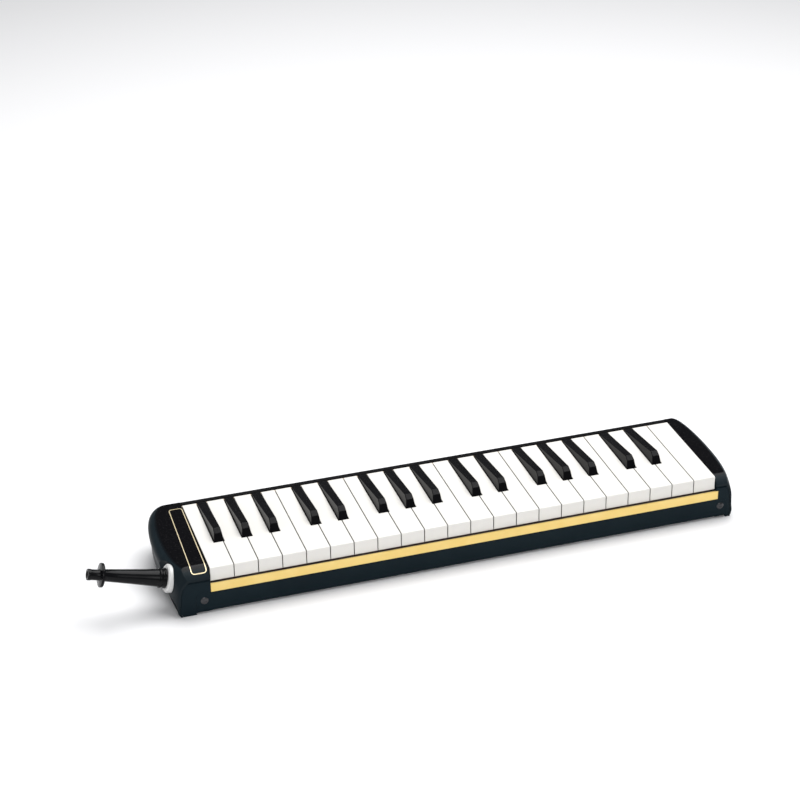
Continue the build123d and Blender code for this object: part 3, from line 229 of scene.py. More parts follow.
@dataclass(frozen=True)
class Finish:
    """A finish: colours, gloss and grain of one real material.

    Args:
        name: The material's name.
        main: Main colour, linear.
        other: Colour that patches drift towards.
        roughness: Mean roughness.
        smear: How much the roughness varies.
        metallic: 1 for bare metal.
        coat: Weight of a clear gloss coat.
        grains: Grains per metre.
        relief: Height of the grain in millimetres.
        stretch: Direction of the grain.
        dust: Strength of the dust on upward faces.
        sheen: Weight of the fuzzy edge light of felt.
        specular: Specular level.
        patches: Patches of colour drift per metre.
    """

    name: str
    main: Colour
    other: Colour
    roughness: float
    smear: float = 0.06
    metallic: float = 0.0
    coat: float = 0.0
    grains: float = 2500.0
    relief: float = 0.004
    stretch: Noise = Noise.EVEN
    dust: float = 0.02
    sheen: float = 0.0
    specular: float = 0.5
    patches: float = 30.0

    def material(self, groups: SurfaceGroups) -> bpy.types.Material:
        """Builds the material.

        Args:
            groups: The shared shader node groups.

        Returns:
            The finished material.
        """
        material = bpy.data.materials.new(self.name)
        material.use_nodes = True
        tree = material.node_tree
        shader = tree.nodes["Principled BSDF"]
        place = shade(tree, "ShaderNodeTexCoord")
        drift = shade(tree, "ShaderNodeGroup", node_tree=groups.drift)
        drift.inputs["Main Colour"].default_value = (*self.main, 1)
        drift.inputs["Other Colour"].default_value = (*self.other, 1)
        drift.inputs["Patches per Metre"].default_value = self.patches
        handling = shade(tree, "ShaderNodeGroup", node_tree=groups.handling)
        handling.inputs["Roughness"].default_value = self.roughness
        handling.inputs["Smear"].default_value = self.smear
        grain = shade(tree, "ShaderNodeGroup", node_tree=groups.grain)
        grain.inputs["Grains per Metre"].default_value = self.grains
        grain.inputs["Stretch"].default_value = self.stretch.value
        bump = shade(tree, "ShaderNodeBump")
        bump.inputs["Distance"].default_value = self.relief * MM
        dust = shade(tree, "ShaderNodeGroup", node_tree=groups.dust)
        dust.inputs["Amount"].default_value = self.dust
        dusty = shade(tree, "ShaderNodeMix", data_type="RGBA")
        dusty.inputs["B"].default_value = (0.45, 0.44, 0.42, 1)
        for group in (drift, handling, grain, dust):
            tree.links.new(place.outputs["Object"], group.inputs["Vector"])
        colour = self.colour_output(tree, place, drift.outputs["Colour"])
        tree.links.new(colour, dusty.inputs["A"])
        tree.links.new(dust.outputs["Mask"], dusty.inputs["Factor"])
        tree.links.new(dusty.outputs["Result"], shader.inputs["Base Color"])
        rough = self.roughness_output(tree, place, handling.outputs["Roughness"])
        tree.links.new(rough, shader.inputs["Roughness"])
        tree.links.new(grain.outputs["Height"], bump.inputs["Height"])
        tree.links.new(bump.outputs["Normal"], shader.inputs["Normal"])
        shader.inputs["Metallic"].default_value = self.metallic
        shader.inputs["Coat Weight"].default_value = self.coat
        shader.inputs["Coat Roughness"].default_value = 0.05
        shader.inputs["Sheen Weight"].default_value = self.sheen
        shader.inputs["Specular IOR Level"].default_value = self.specular
        return material

    def colour_output(self, tree: bpy.types.NodeTree, place: bpy.types.Node,
                      colour: bpy.types.NodeSocket) -> bpy.types.NodeSocket:
        """Colour before dust; a special finish changes it here."""
        return colour

    def roughness_output(self, tree: bpy.types.NodeTree, place: bpy.types.Node,
                         roughness: bpy.types.NodeSocket) -> bpy.types.NodeSocket:
        """Roughness; a special finish changes it here."""
        return roughness


def normal_mask(tree: bpy.types.NodeTree, low: float, high: float) -> bpy.types.NodeSocket:
    """Mask that rises from 0 to 1 as faces turn upwards between two slopes.

    Args:
        tree: The material's tree.
        low: Upward part of the normal where the mask starts.
        high: Upward part of the normal where it is full.

    Returns:
        The mask's socket.
    """
    facing = shade(tree, "ShaderNodeNewGeometry")
    split = shade(tree, "ShaderNodeSeparateXYZ")
    ramp = shade(tree, "ShaderNodeMapRange", interpolation_type="SMOOTHSTEP")
    ramp.inputs["From Min"].default_value = low
    ramp.inputs["From Max"].default_value = high
    tree.links.new(facing.outputs["Normal"], split.inputs[0])
    tree.links.new(split.outputs["Z"], ramp.inputs["Value"])
    return ramp.outputs["Result"]


@dataclass(frozen=True)
class CapFinish(Finish):
    """End cap: satin sides and a polished black top plate."""

    plate: Colour = (0.004, 0.004, 0.005)
    plate_roughness: float = 0.07
    slope_low: float = 0.9
    slope_high: float = 0.985

    def colour_output(self, tree: bpy.types.NodeTree, place: bpy.types.Node,
                      colour: bpy.types.NodeSocket) -> bpy.types.NodeSocket:
        """Turns the colour to the plate's on upward faces."""
        mix = shade(tree, "ShaderNodeMix", data_type="RGBA")
        mix.inputs["B"].default_value = (*self.plate, 1)
        tree.links.new(colour, mix.inputs["A"])
        tree.links.new(normal_mask(tree, self.slope_low, self.slope_high), mix.inputs["Factor"])
        return mix.outputs["Result"]

    def roughness_output(self, tree: bpy.types.NodeTree, place: bpy.types.Node,
                         roughness: bpy.types.NodeSocket) -> bpy.types.NodeSocket:
        """Polishes upward faces."""
        mix = shade(tree, "ShaderNodeMix", data_type="FLOAT")
        mix.inputs["B"].default_value = self.plate_roughness
        tree.links.new(roughness, mix.inputs["A"])
        tree.links.new(normal_mask(tree, self.slope_low, self.slope_high), mix.inputs["Factor"])
        return mix.outputs["Result"]


@dataclass(frozen=True)
class KeyFinish(Finish):
    """Key: moulded plastic with painted shade on its side faces, so the gaps between keys read dark, and a
    felt-faced pad below the tail.
    """

    # Painted shade: the side faces' colour, which darkens the gaps between the keys.
    side_shade: Colour = (0.2, 0.195, 0.18)
    pad: Colour = (0.33, 0.2, 0.12)
    pad_top: float = 25.04
    pad_roughness: float = 0.9

    def _pad_mask(self, tree: bpy.types.NodeTree, place: bpy.types.Node) -> bpy.types.NodeSocket:
        """1 on the pad, 0 on the key's plastic."""
        split = shade(tree, "ShaderNodeSeparateXYZ")
        low = shade(tree, "ShaderNodeMath", operation="LESS_THAN")
        low.inputs[1].default_value = self.pad_top * MM
        rear = shade(tree, "ShaderNodeMath", operation="GREATER_THAN")
        rear.inputs[1].default_value = 0.0
        both = shade(tree, "ShaderNodeMath", operation="MULTIPLY")
        tree.links.new(place.outputs["Object"], split.inputs[0])
        tree.links.new(split.outputs["Z"], low.inputs[0])
        tree.links.new(split.outputs["Y"], rear.inputs[0])
        tree.links.new(low.outputs[0], both.inputs[0])
        tree.links.new(rear.outputs[0], both.inputs[1])
        return both.outputs[0]

    @staticmethod
    def _side_shade_mask(tree: bpy.types.NodeTree) -> bpy.types.NodeSocket:
        """1 on the faces towards the neighbouring keys, where shade is painted to darken the gaps."""
        facing = shade(tree, "ShaderNodeNewGeometry")
        split = shade(tree, "ShaderNodeSeparateXYZ")
        size = shade(tree, "ShaderNodeMath", operation="ABSOLUTE")
        ramp = shade(tree, "ShaderNodeMapRange", interpolation_type="SMOOTHSTEP")
        ramp.inputs["From Min"].default_value = 0.985
        ramp.inputs["From Max"].default_value = 0.999
        tree.links.new(facing.outputs["Normal"], split.inputs[0])
        tree.links.new(split.outputs["X"], size.inputs[0])
        tree.links.new(size.outputs[0], ramp.inputs["Value"])
        return ramp.outputs["Result"]

    def colour_output(self, tree: bpy.types.NodeTree, place: bpy.types.Node,
                      colour: bpy.types.NodeSocket) -> bpy.types.NodeSocket:
        """Paints shade onto the side faces and gives the pad its own colour."""
        # Painted shade on the faces towards the neighbouring keys.
        sides = shade(tree, "ShaderNodeMix", data_type="RGBA")
        sides.inputs["B"].default_value = (*self.side_shade, 1)
        tree.links.new(colour, sides.inputs["A"])
        tree.links.new(self._side_shade_mask(tree), sides.inputs["Factor"])
        mix = shade(tree, "ShaderNodeMix", data_type="RGBA")
        mix.inputs["B"].default_value = (*self.pad, 1)
        tree.links.new(sides.outputs["Result"], mix.inputs["A"])
        tree.links.new(self._pad_mask(tree, place), mix.inputs["Factor"])
        return mix.outputs["Result"]

    def roughness_output(self, tree: bpy.types.NodeTree, place: bpy.types.Node,
                         roughness: bpy.types.NodeSocket) -> bpy.types.NodeSocket:
        """Makes the pad dull."""
        mix = shade(tree, "ShaderNodeMix", data_type="FLOAT")
        mix.inputs["B"].default_value = self.pad_roughness
        tree.links.new(roughness, mix.inputs["A"])
        tree.links.new(self._pad_mask(tree, place), mix.inputs["Factor"])
        return mix.outputs["Result"]


FINISHES: tuple[Finish, ...] = (
    CapFinish("moulded_black", (0.009, 0.015, 0.019), (0.011, 0.018, 0.023), 0.42, grains=3500,
              relief=0.006, specular=0.07),
    Finish("rim_black", (0.004, 0.004, 0.005), (0.006, 0.006, 0.007), 0.34, specular=0.07),
    # The white keys keep the default painted side shade; the black keys' side colour equals their body
    # colour.
    KeyFinish("key_white", (0.84, 0.825, 0.79), (0.86, 0.84, 0.80), 0.24, smear=0.08, coat=0.1,
              grains=1500, relief=0.002, dust=0.0),
    KeyFinish("key_black", (0.004, 0.004, 0.005), (0.006, 0.006, 0.007), 0.2, smear=0.06,
              relief=0.002, specular=0.08, side_shade=(0.004, 0.004, 0.005)),
    Finish("cover_paint", (0.0045, 0.0115, 0.0165), (0.006, 0.0145, 0.020), 0.44, grains=1800,
           relief=0.008, specular=0.07),
    Finish("gold_anodised", (0.88, 0.63, 0.19), (0.92, 0.68, 0.24), 0.36, smear=0.12, metallic=0.35,
           grains=6000, relief=0.004, stretch=Noise.ALONG_X, dust=0.0, patches=60),
    Finish("foil_gold", (0.80, 0.68, 0.42), (0.86, 0.74, 0.5), 0.34, metallic=0.4, dust=0.0),
    Finish("mouth_black", (0.004, 0.0045, 0.005), (0.006, 0.006, 0.007), 0.2,
           relief=0.002, specular=0.12),
    Finish("collar_grey", (0.70, 0.70, 0.69), (0.74, 0.74, 0.73), 0.3, dust=0.0, relief=0.002),
    Finish("inner_plastic", (0.03, 0.03, 0.031), (0.04, 0.04, 0.04), 0.55, relief=0.01),
    Finish("felt_cream", (0.66, 0.52, 0.38), (0.54, 0.42, 0.30), 0.95, grains=2600, relief=0.12,
           sheen=0.4, specular=0.1, dust=0.0, patches=400),
    Finish("felt_red", (0.10, 0.018, 0.016), (0.07, 0.014, 0.013), 0.95, grains=2600, relief=0.12,
           sheen=0.4, specular=0.1, dust=0.0, patches=400),
    Finish("steel", (0.55, 0.55, 0.56), (0.48, 0.48, 0.49), 0.28, metallic=1.0, grains=4000,
           stretch=Noise.ALONG_Y, dust=0.0),
    Finish("screw_black", (0.05, 0.052, 0.055), (0.07, 0.07, 0.075), 0.3, metallic=0.8, dust=0.0),
    Finish("brass", (0.70, 0.49, 0.20), (0.62, 0.42, 0.17), 0.3, metallic=1.0, grains=4000,
           stretch=Noise.ALONG_Y, dust=0.0),
    Finish("seal_rubber", (0.03, 0.03, 0.03), (0.045, 0.045, 0.045), 0.75, relief=0.02, dust=0.0),
)


class Paint:
    """Every finish's material, built once and handed out by name."""

    def __init__(self) -> None:
        """Builds the materials."""
        groups = SurfaceGroups()
        self._materials = {finish.name: finish.material(groups) for finish in FINISHES}

    def __getitem__(self, name: str) -> bpy.types.Material:
        """The material of that name."""
        return self._materials[name]


# ---------------------------------------------------------------- mesh helpers


def metres(point: Sequence[float]) -> Vector:
    """A point in metres from one in millimetres."""
    return Vector(point) * MM


def mesh_piece(name: str, points: Sequence[Sequence[float]], faces: Sequence[Sequence[int]],
               material: bpy.types.Material | None = None, edges: Sequence[Sequence[int]] = ()
               ) -> bpy.types.Object:
    """Makes a mesh object at the origin from points in millimetres.

    Args:
        name: The piece's name.
        points: Vertex positions in millimetres.
        faces: Vertex numbers of each face.
        material: Its material, or None.
        edges: Vertex numbers of loose edges.

    Returns:
        The linked object.
    """
    mesh = bpy.data.meshes.new(name)
    mesh.from_pydata([metres(point) for point in points], edges, faces)
    if material is not None:
        mesh.materials.append(material)
    piece = bpy.data.objects.new(name, mesh)
    bpy.context.scene.collection.objects.link(piece)
    return piece


def smooth(piece: bpy.types.Object, angle: float = 35.0) -> None:
    """Recalculates a piece's normals and shades it smooth below an angle in degrees."""
    work = bmesh.new()
    work.from_mesh(piece.data)
    bmesh.ops.remove_doubles(work, verts=work.verts, dist=1e-7)
    bmesh.ops.recalc_face_normals(work, faces=work.faces)
    work.to_mesh(piece.data)
    work.free()
    piece.data.shade_smooth()
    piece.data.set_sharp_from_angle(angle=math.radians(angle))


def settle(piece: bpy.types.Object) -> bpy.types.Object:
    """Turns a piece's modifiers into plain mesh.

    Args:
        piece: An object with live modifiers.

    Returns:
        The same object, its evaluated mesh in place and no modifier left.
    """
    graph = bpy.context.evaluated_depsgraph_get()
    finished = bpy.data.meshes.new_from_object(piece.evaluated_get(graph))
    piece.modifiers.clear()
    old = piece.data
    piece.data = finished
    finished.name = piece.name
    bpy.data.meshes.remove(old)
    return piece


def soften_edges(piece: bpy.types.Object, width: float, segments: int = 2) -> None:
    """Rounds a piece's sharp edges by a width in millimetres and keeps the result."""
    bevel = piece.modifiers.new("soft_edges", "BEVEL")
    bevel.width = width * MM
    bevel.segments = segments
    bevel.limit_method = "ANGLE"
    bevel.angle_limit = math.radians(30)
    bevel.harden_normals = False
    settle(piece)
    piece.data.shade_smooth()
    piece.data.set_sharp_from_angle(angle=math.radians(35))


class PieceTree:
    """A Geometry Nodes tree with named sizes that is run once and leaves a plain mesh."""

    def __init__(self, name: str, **sizes: float) -> None:
        """Starts the tree.

        Args:
            name: The tree's name.
            **sizes: Named inputs and their values, in metres or plain numbers.
        """
        self.tree = bpy.data.node_groups.new(name, "GeometryNodeTree")
        self.sizes = sizes
        self.tree.interface.new_socket(name="Seed", in_out="INPUT", socket_type="NodeSocketGeometry")
        for key in sizes:
            self.tree.interface.new_socket(name=key, in_out="INPUT", socket_type="NodeSocketFloat")
        self.tree.interface.new_socket(name="Piece", in_out="OUTPUT", socket_type="NodeSocketGeometry")
        self.inputs = self.tree.nodes.new("NodeGroupInput")
        self.outputs = self.tree.nodes.new("NodeGroupOutput")

    def node(self, kind: str, links: dict[str | int, bpy.types.NodeSocket] | None = None,
             values: dict[str | int, object] | None = None, **properties: object) -> bpy.types.Node:
        """Adds a node.

        Args:
            kind: Its type name without the GeometryNode prefix, or a full name.
            links: Input name or number to the socket that feeds it.
            values: Input name or number to its fixed value.
            **properties: The node's own properties.

        Returns:
            The new node.
        """
        full = kind if kind.startswith(("Shader", "Function")) else f"GeometryNode{kind}"
        node = self.tree.nodes.new(full)
        for key, value in properties.items():
            setattr(node, key, value)
        for key, value in (values or {}).items():
            node.inputs[key].default_value = value
        for key, socket in (links or {}).items():
            self.tree.links.new(socket, node.inputs[key])
        return node

    def size(self, name: str) -> bpy.types.NodeSocket:
        """The socket of a named input."""
        return self.inputs.outputs[name]

    def sum_of(self, first: bpy.types.NodeSocket, second: bpy.types.NodeSocket | float,
               operation: str = "ADD") -> bpy.types.NodeSocket:
        """Result of a maths operation on a socket and a socket or number."""
        node = self.node("ShaderNodeMath", {0: first}, operation=operation)
        if isinstance(second, float):
            node.inputs[1].default_value = second
        else:
            self.tree.links.new(second, node.inputs[1])
        return node.outputs[0]

    def run(self, name: str, seed: bpy.types.Object, result: bpy.types.NodeSocket,
            material: bpy.types.Material) -> bpy.types.Object:
        """Closes the tree, runs it on a seed object and makes the result a plain mesh.

        Args:
            name: The finished piece's name.
            seed: Object whose geometry the tree starts from; it becomes the piece.
            result: The geometry socket that holds the piece.
            material: The piece's material.

        Returns:
            The finished object.
        """
        whole = self.node("RealizeInstances", {0: result})
        dressed = self.node("SetMaterial", {"Geometry": whole.outputs[0]})
        dressed.inputs["Material"].default_value = material
        self.tree.links.new(dressed.outputs[0], self.outputs.inputs["Piece"])
        modifier = seed.modifiers.new("shape", "NODES")
        modifier.node_group = self.tree
        for item in self.tree.interface.items_tree:
            if item.in_out == "INPUT" and item.name in self.sizes:
                modifier[item.identifier] = float(self.sizes[item.name])
        seed.name = name
        return settle(seed)


def seed_points(name: str, points: Sequence[Sequence[float]],
                attributes: dict[str, Sequence[object]] | None = None) -> bpy.types.Object:
    """A seed object of loose vertices for a tree.

    Args:
        name: Its name.
        points: Positions in millimetres.
        attributes: Attribute name to one value (number or vector) for each point.

    Returns:
        The seed object.
    """
    seed = mesh_piece(name, points, ())
    for key, values in (attributes or {}).items():
        vector = not isinstance(values[0], (int, float))
        layer = seed.data.attributes.new(key, "FLOAT_VECTOR" if vector else "FLOAT", "POINT")
        for item, value in zip(layer.data, values):
            if vector:
                item.vector = value
            else:
                item.value = value
    return seed


# ---------------------------------------------------------------- the keyboard's layout


@dataclass(frozen=True)
class Layout:
    """Where the keys, the case and the inner parts lie, in millimetres."""

    pitch: float = 17.7
    white_keys: int = 22
    key_gap: float = 0.6
    black_width: float = 7.2
    notch_gap: float = 0.5
    fronts: float = -47.1
    case_top: float = 34.9
    case_front: float = -49.3
    case_rear: float = 49.3
    shift: tuple[tuple[str, float], ...] = (("f", -3.0), ("g", 0.0), ("a", 3.0), ("c", -1.5), ("d", 1.5))
    left: float = field(default_factory=lambda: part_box("main_frame")[0][0] / MM + 0.2)

    @property
    def right(self) -> float:
        """X of the last key's right edge."""
        return self.left + self.pitch * self.white_keys

    def black_centre(self, joint: int) -> float | None:
        """Distance of a black key's middle from the first key's edge, or None where there is none."""
        letter = "fgabcde"[(joint - 1) % 7]
        shifts = dict(self.shift)
        if not 0 < joint < self.white_keys or letter not in shifts:
            return None
        return joint * self.pitch + shifts[letter]

    def tails(self) -> list[float]:
        """X of the middle of every key's tail, low to high."""
        centres: list[float] = []
        reach = self.black_width / 2 + self.notch_gap
        for index in range(self.white_keys):
            below, above = self.black_centre(index), self.black_centre(index + 1)
            low = index * self.pitch + self.key_gap / 2 if below is None else below + reach
            high = (index + 1) * self.pitch - self.key_gap / 2 if above is None else above - reach
            centres.append(self.left + (low + high) / 2)
            if above is not None:
                centres.append(self.left + above)
        return centres


# ---------------------------------------------------------------- sub-assemblies


@dataclass
class Keyboard:
    """The rocking keys, their rod, springs and stop felts."""

    layout: Layout
    paint: Paint
    spring_radius: float = 1.75
    spring_wire: float = 0.22
    spring_turns: float = 6.0
    spring_y: float = -4.6
    spring_foot: float = 17.92
    spring_head: float = 33.28

    def build(self) -> None:
        """Dresses the keys and builds the springs and felts."""
        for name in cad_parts:
            if name.startswith("white_key_"):
                dress(name, self.paint["key_white"])
            elif name.startswith("black_key_"):
                dress(name, self.paint["key_black"])
        dress("pivot_rod", self.paint["steel"])
        dress("main_frame", self.paint["inner_plastic"])
        self._springs()
        self._stop_felts()

    def _springs(self) -> None:
        """One coil spring under each key."""
        spots = [(x, self.spring_y, self.spring_foot) for x in self.layout.tails()]
        tree = PieceTree("coil_springs", **coil_sizes(self.spring_radius, self.spring_wire,
                                                      self.spring_head - self.spring_foot,
                                                      self.spring_turns))
        piece = tree.run("key_springs_visual", seed_points("key_springs_visual", spots),
                         coil_geometry(tree, (0, 0, 0)), self.paint["steel"])
        piece.data.shade_smooth()
        stand_in(piece, Body.CASE, "steel", "key_springs")

    def _stop_felts(self) -> None:
        """The two felt strips that stop the keys."""
        strips = []
        low, high = (tuple(value / MM for value in corner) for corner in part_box("stop_felts"))
        strips.append(((low[0], low[1], low[2]), (high[0], low[1] + 8.0, 20.2)))
        strips.append(((low[0], high[1] - 4.5, high[2] - 2.5), (high[0], high[1], high[2])))
        piece = felt_strips("stop_felts_visual", strips, self.paint["felt_red"], rough=0.1)
        stand_in(piece, Body.CASE, "felt", "stop_felts")


def coil_sizes(radius: float, wire: float, length: float, turns: float) -> dict[str, float]:
    """Named inputs of the coil spring tree, from millimetres."""
    return {"Radius": radius * MM, "Wire": wire * MM, "Length": length * MM, "Turns": turns}


def coil_geometry(tree: PieceTree, rotation: Point, sides: int = 6) -> bpy.types.NodeSocket:
    """Nodes of a coil spring placed on every seed point.

    Args:
        tree: The tree being built, with the inputs of coil_sizes.
        rotation: Turn of each spring, in radians.
        sides: Sides of the wire.

    Returns:
        The geometry socket of the springs.
    """
    coil = tree.node("CurveSpiral", {"Rotations": tree.size("Turns"), "Start Radius": tree.size("Radius"),
                                     "End Radius": tree.size("Radius"), "Height": tree.size("Length")},
                     {"Resolution": 18})
    wire = tree.node("CurvePrimitiveCircle", {"Radius": tree.size("Wire")}, {"Resolution": sides})
    solid = tree.node("CurveToMesh", {"Curve": coil.outputs[0], "Profile Curve": wire.outputs[0]},
                      {"Fill Caps": True})
    placed = tree.node("InstanceOnPoints", {"Points": tree.size("Seed"), "Instance": solid.outputs[0]},
                       {"Rotation": rotation})
    return placed.outputs[0]


def dress(node: str, material: bpy.types.Material) -> None:
    """Puts a material in every slot of a CAD node."""
    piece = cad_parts[node]
    for slot in piece.material_slots:
        slot.material = material
    LOG.info("%s wears %s", node, material.name)


def stand_in(piece: bpy.types.Object, body: Body, slot: str, *nodes: str) -> None:
    """Rides a new piece on a body and lets it stand for CAD nodes.

    Args:
        piece: The new piece.
        body: The body that it moves with.
        slot: Not used.
        *nodes: CAD nodes that it replaces.
    """
    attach(piece, body.value)
    if nodes:
        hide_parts(*nodes)
    LOG.info("%s rides on %s", piece.name, body.value)


def felt_strips(name: str, boxes: Iterable[tuple[Point, Point]], material: bpy.types.Material,
                rough: float) -> bpy.types.Object:
    """Strips of felt along X with rounded edges and an uneven, woolly surface.

    Args:
        name: The piece's name.
        boxes: Lowest and highest corner of each strip, in millimetres.
        material: The felt.
        rough: Depth of the unevenness, in millimetres.

    Returns:
        One object that holds the strips.
    """
    points: list[Point] = []
    faces: list[tuple[int, ...]] = []
    around, step, power = 20, 1.6, 6.0
    for low, high in boxes:
        first = len(points)
        count = max(2, round((high[0] - low[0]) / step))
        middle = [(a + b) / 2 for a, b in zip(low, high)]
        half = [(b - a) / 2 for a, b in zip(low, high)]
        for ring in range(count + 1):
            x = low[0] + (high[0] - low[0]) * ring / count
            for number in range(around):
                turn = 2 * math.pi * (number + 0.5) / around
                c, s = math.cos(turn), math.sin(turn)
                size = (abs(c) ** power + abs(s) ** power) ** (-1 / power)
                y, z = middle[1] + half[1] * c * size, middle[2] + half[2] * s * size
                depth = rough * (0.5 + 0.5 * noise.noise(Vector((x * 0.9, y * 1.7 + z * 2.3, z * 1.3))))
                y -= depth * c
                z -= depth * s
                points.append((x, y, z))
        for ring in range(count):
            for number in range(around):
                a = first + ring * around + number
                b = first + ring * around + (number + 1) % around
                faces.append((a, b, b + around, a + around))
        faces.append(tuple(first + number for number in range(around)))
        faces.append(tuple(first + count * around + number for number in range(around)))
    piece = mesh_piece(name, points, faces, material)
    smooth(piece, 50)
    return piece


@dataclass
class Case:
    """The outer case: end caps, end blocks, cover, strip, rear rail and felt."""

    layout: Layout
    paint: Paint
    roll_depth: float = 12.0
    roll_drop: float = 5.2

    def build(self) -> None:
        """Dresses the case's CAD nodes and builds its foil line and felt."""
        for node, finish in (("left_end_cap", "moulded_black"), ("right_end_cap", "moulded_black"),
                             ("end_blocks", "cover_paint"), ("lower_cover", "cover_paint"),
                             ("rear_rail", "rim_black"), ("gold_strip", "gold_anodised")):
            dress(node, self.paint[finish])
        self._rear_felt()
        self._foil_line()

    def _rear_felt(self) -> None:
        """The pale felt strip behind the keys."""
        low, high = (tuple(value / MM for value in corner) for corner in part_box("rear_felt"))
        piece = felt_strips("rear_felt_visual", [(low, high)], self.paint["felt_cream"], rough=0.14)
        stand_in(piece, Body.CASE, "felt", "rear_felt")

    def _foil_line(self) -> None:
        """The foil outline on the left top plate, which runs down over the plate's rolled front."""
        left = self.layout.left
        corners = [(left - 0.8, 39.0), (left - 10.3, 39.0), (left - 12.6, -46.3), (left - 1.8, -46.3)]
        top = self.layout.case_top
        points = [(x, y, top) for x, y in corners]
        seed = mesh_piece("foil_outline", points, (), None, [(0, 1), (1, 2), (2, 3), (3, 0)])
        radius = (self.roll_depth ** 2 + self.roll_drop ** 2) / (2 * self.roll_drop)
        start = self.layout.case_front + self.roll_depth
        tree = PieceTree("foil_line", **{"Line Width": 0.62 * MM, "Line Height": 0.08 * MM,
                                         "Corner": 2.0 * MM, "Roll Radius": radius * MM,
                                         "Roll Start": start * MM})
        path = tree.node("MeshToCurve", {0: tree.size("Seed")})
        rounded = tree.node("FilletCurve", {"Curve": path.outputs[0], "Radius": tree.size("Corner")},
                            {"Count": 5}, mode="POLY")
        even = tree.node("ResampleCurve", {"Curve": rounded.outputs[0]}, {"Length": 1.2 * MM},
                         mode="LENGTH")
        section = tree.node("CurvePrimitiveQuadrilateral", {"Width": tree.size("Line Width"),
                                                            "Height": tree.size("Line Height")})
        flat = tree.node("CurveToMesh", {"Curve": even.outputs[0], "Profile Curve": section.outputs[0]})
        where = tree.node("InputPosition")
        split = tree.node("ShaderNodeSeparateXYZ", {0: where.outputs[0]})
        ahead = tree.sum_of(tree.sum_of(tree.size("Roll Start"), split.outputs["Y"], "SUBTRACT"), 0.0,
                            "MAXIMUM")
        square = tree.sum_of(ahead, ahead, "MULTIPLY")
        radius_square = tree.sum_of(tree.size("Roll Radius"), tree.size("Roll Radius"), "MULTIPLY")
        height = tree.sum_of(tree.sum_of(radius_square, square, "SUBTRACT"), 0.5, "POWER")
        drop = tree.sum_of(height, tree.size("Roll Radius"), "SUBTRACT")
        offset = tree.node("ShaderNodeCombineXYZ", {"Z": drop})
        laid = tree.node("SetPosition", {"Geometry": flat.outputs[0], "Offset": offset.outputs[0]})
        piece = tree.run("foil_outline", seed, laid.outputs[0], self.paint["foil_gold"])
        smooth(piece)
        stand_in(piece, Body.CASE, "gold_metal")


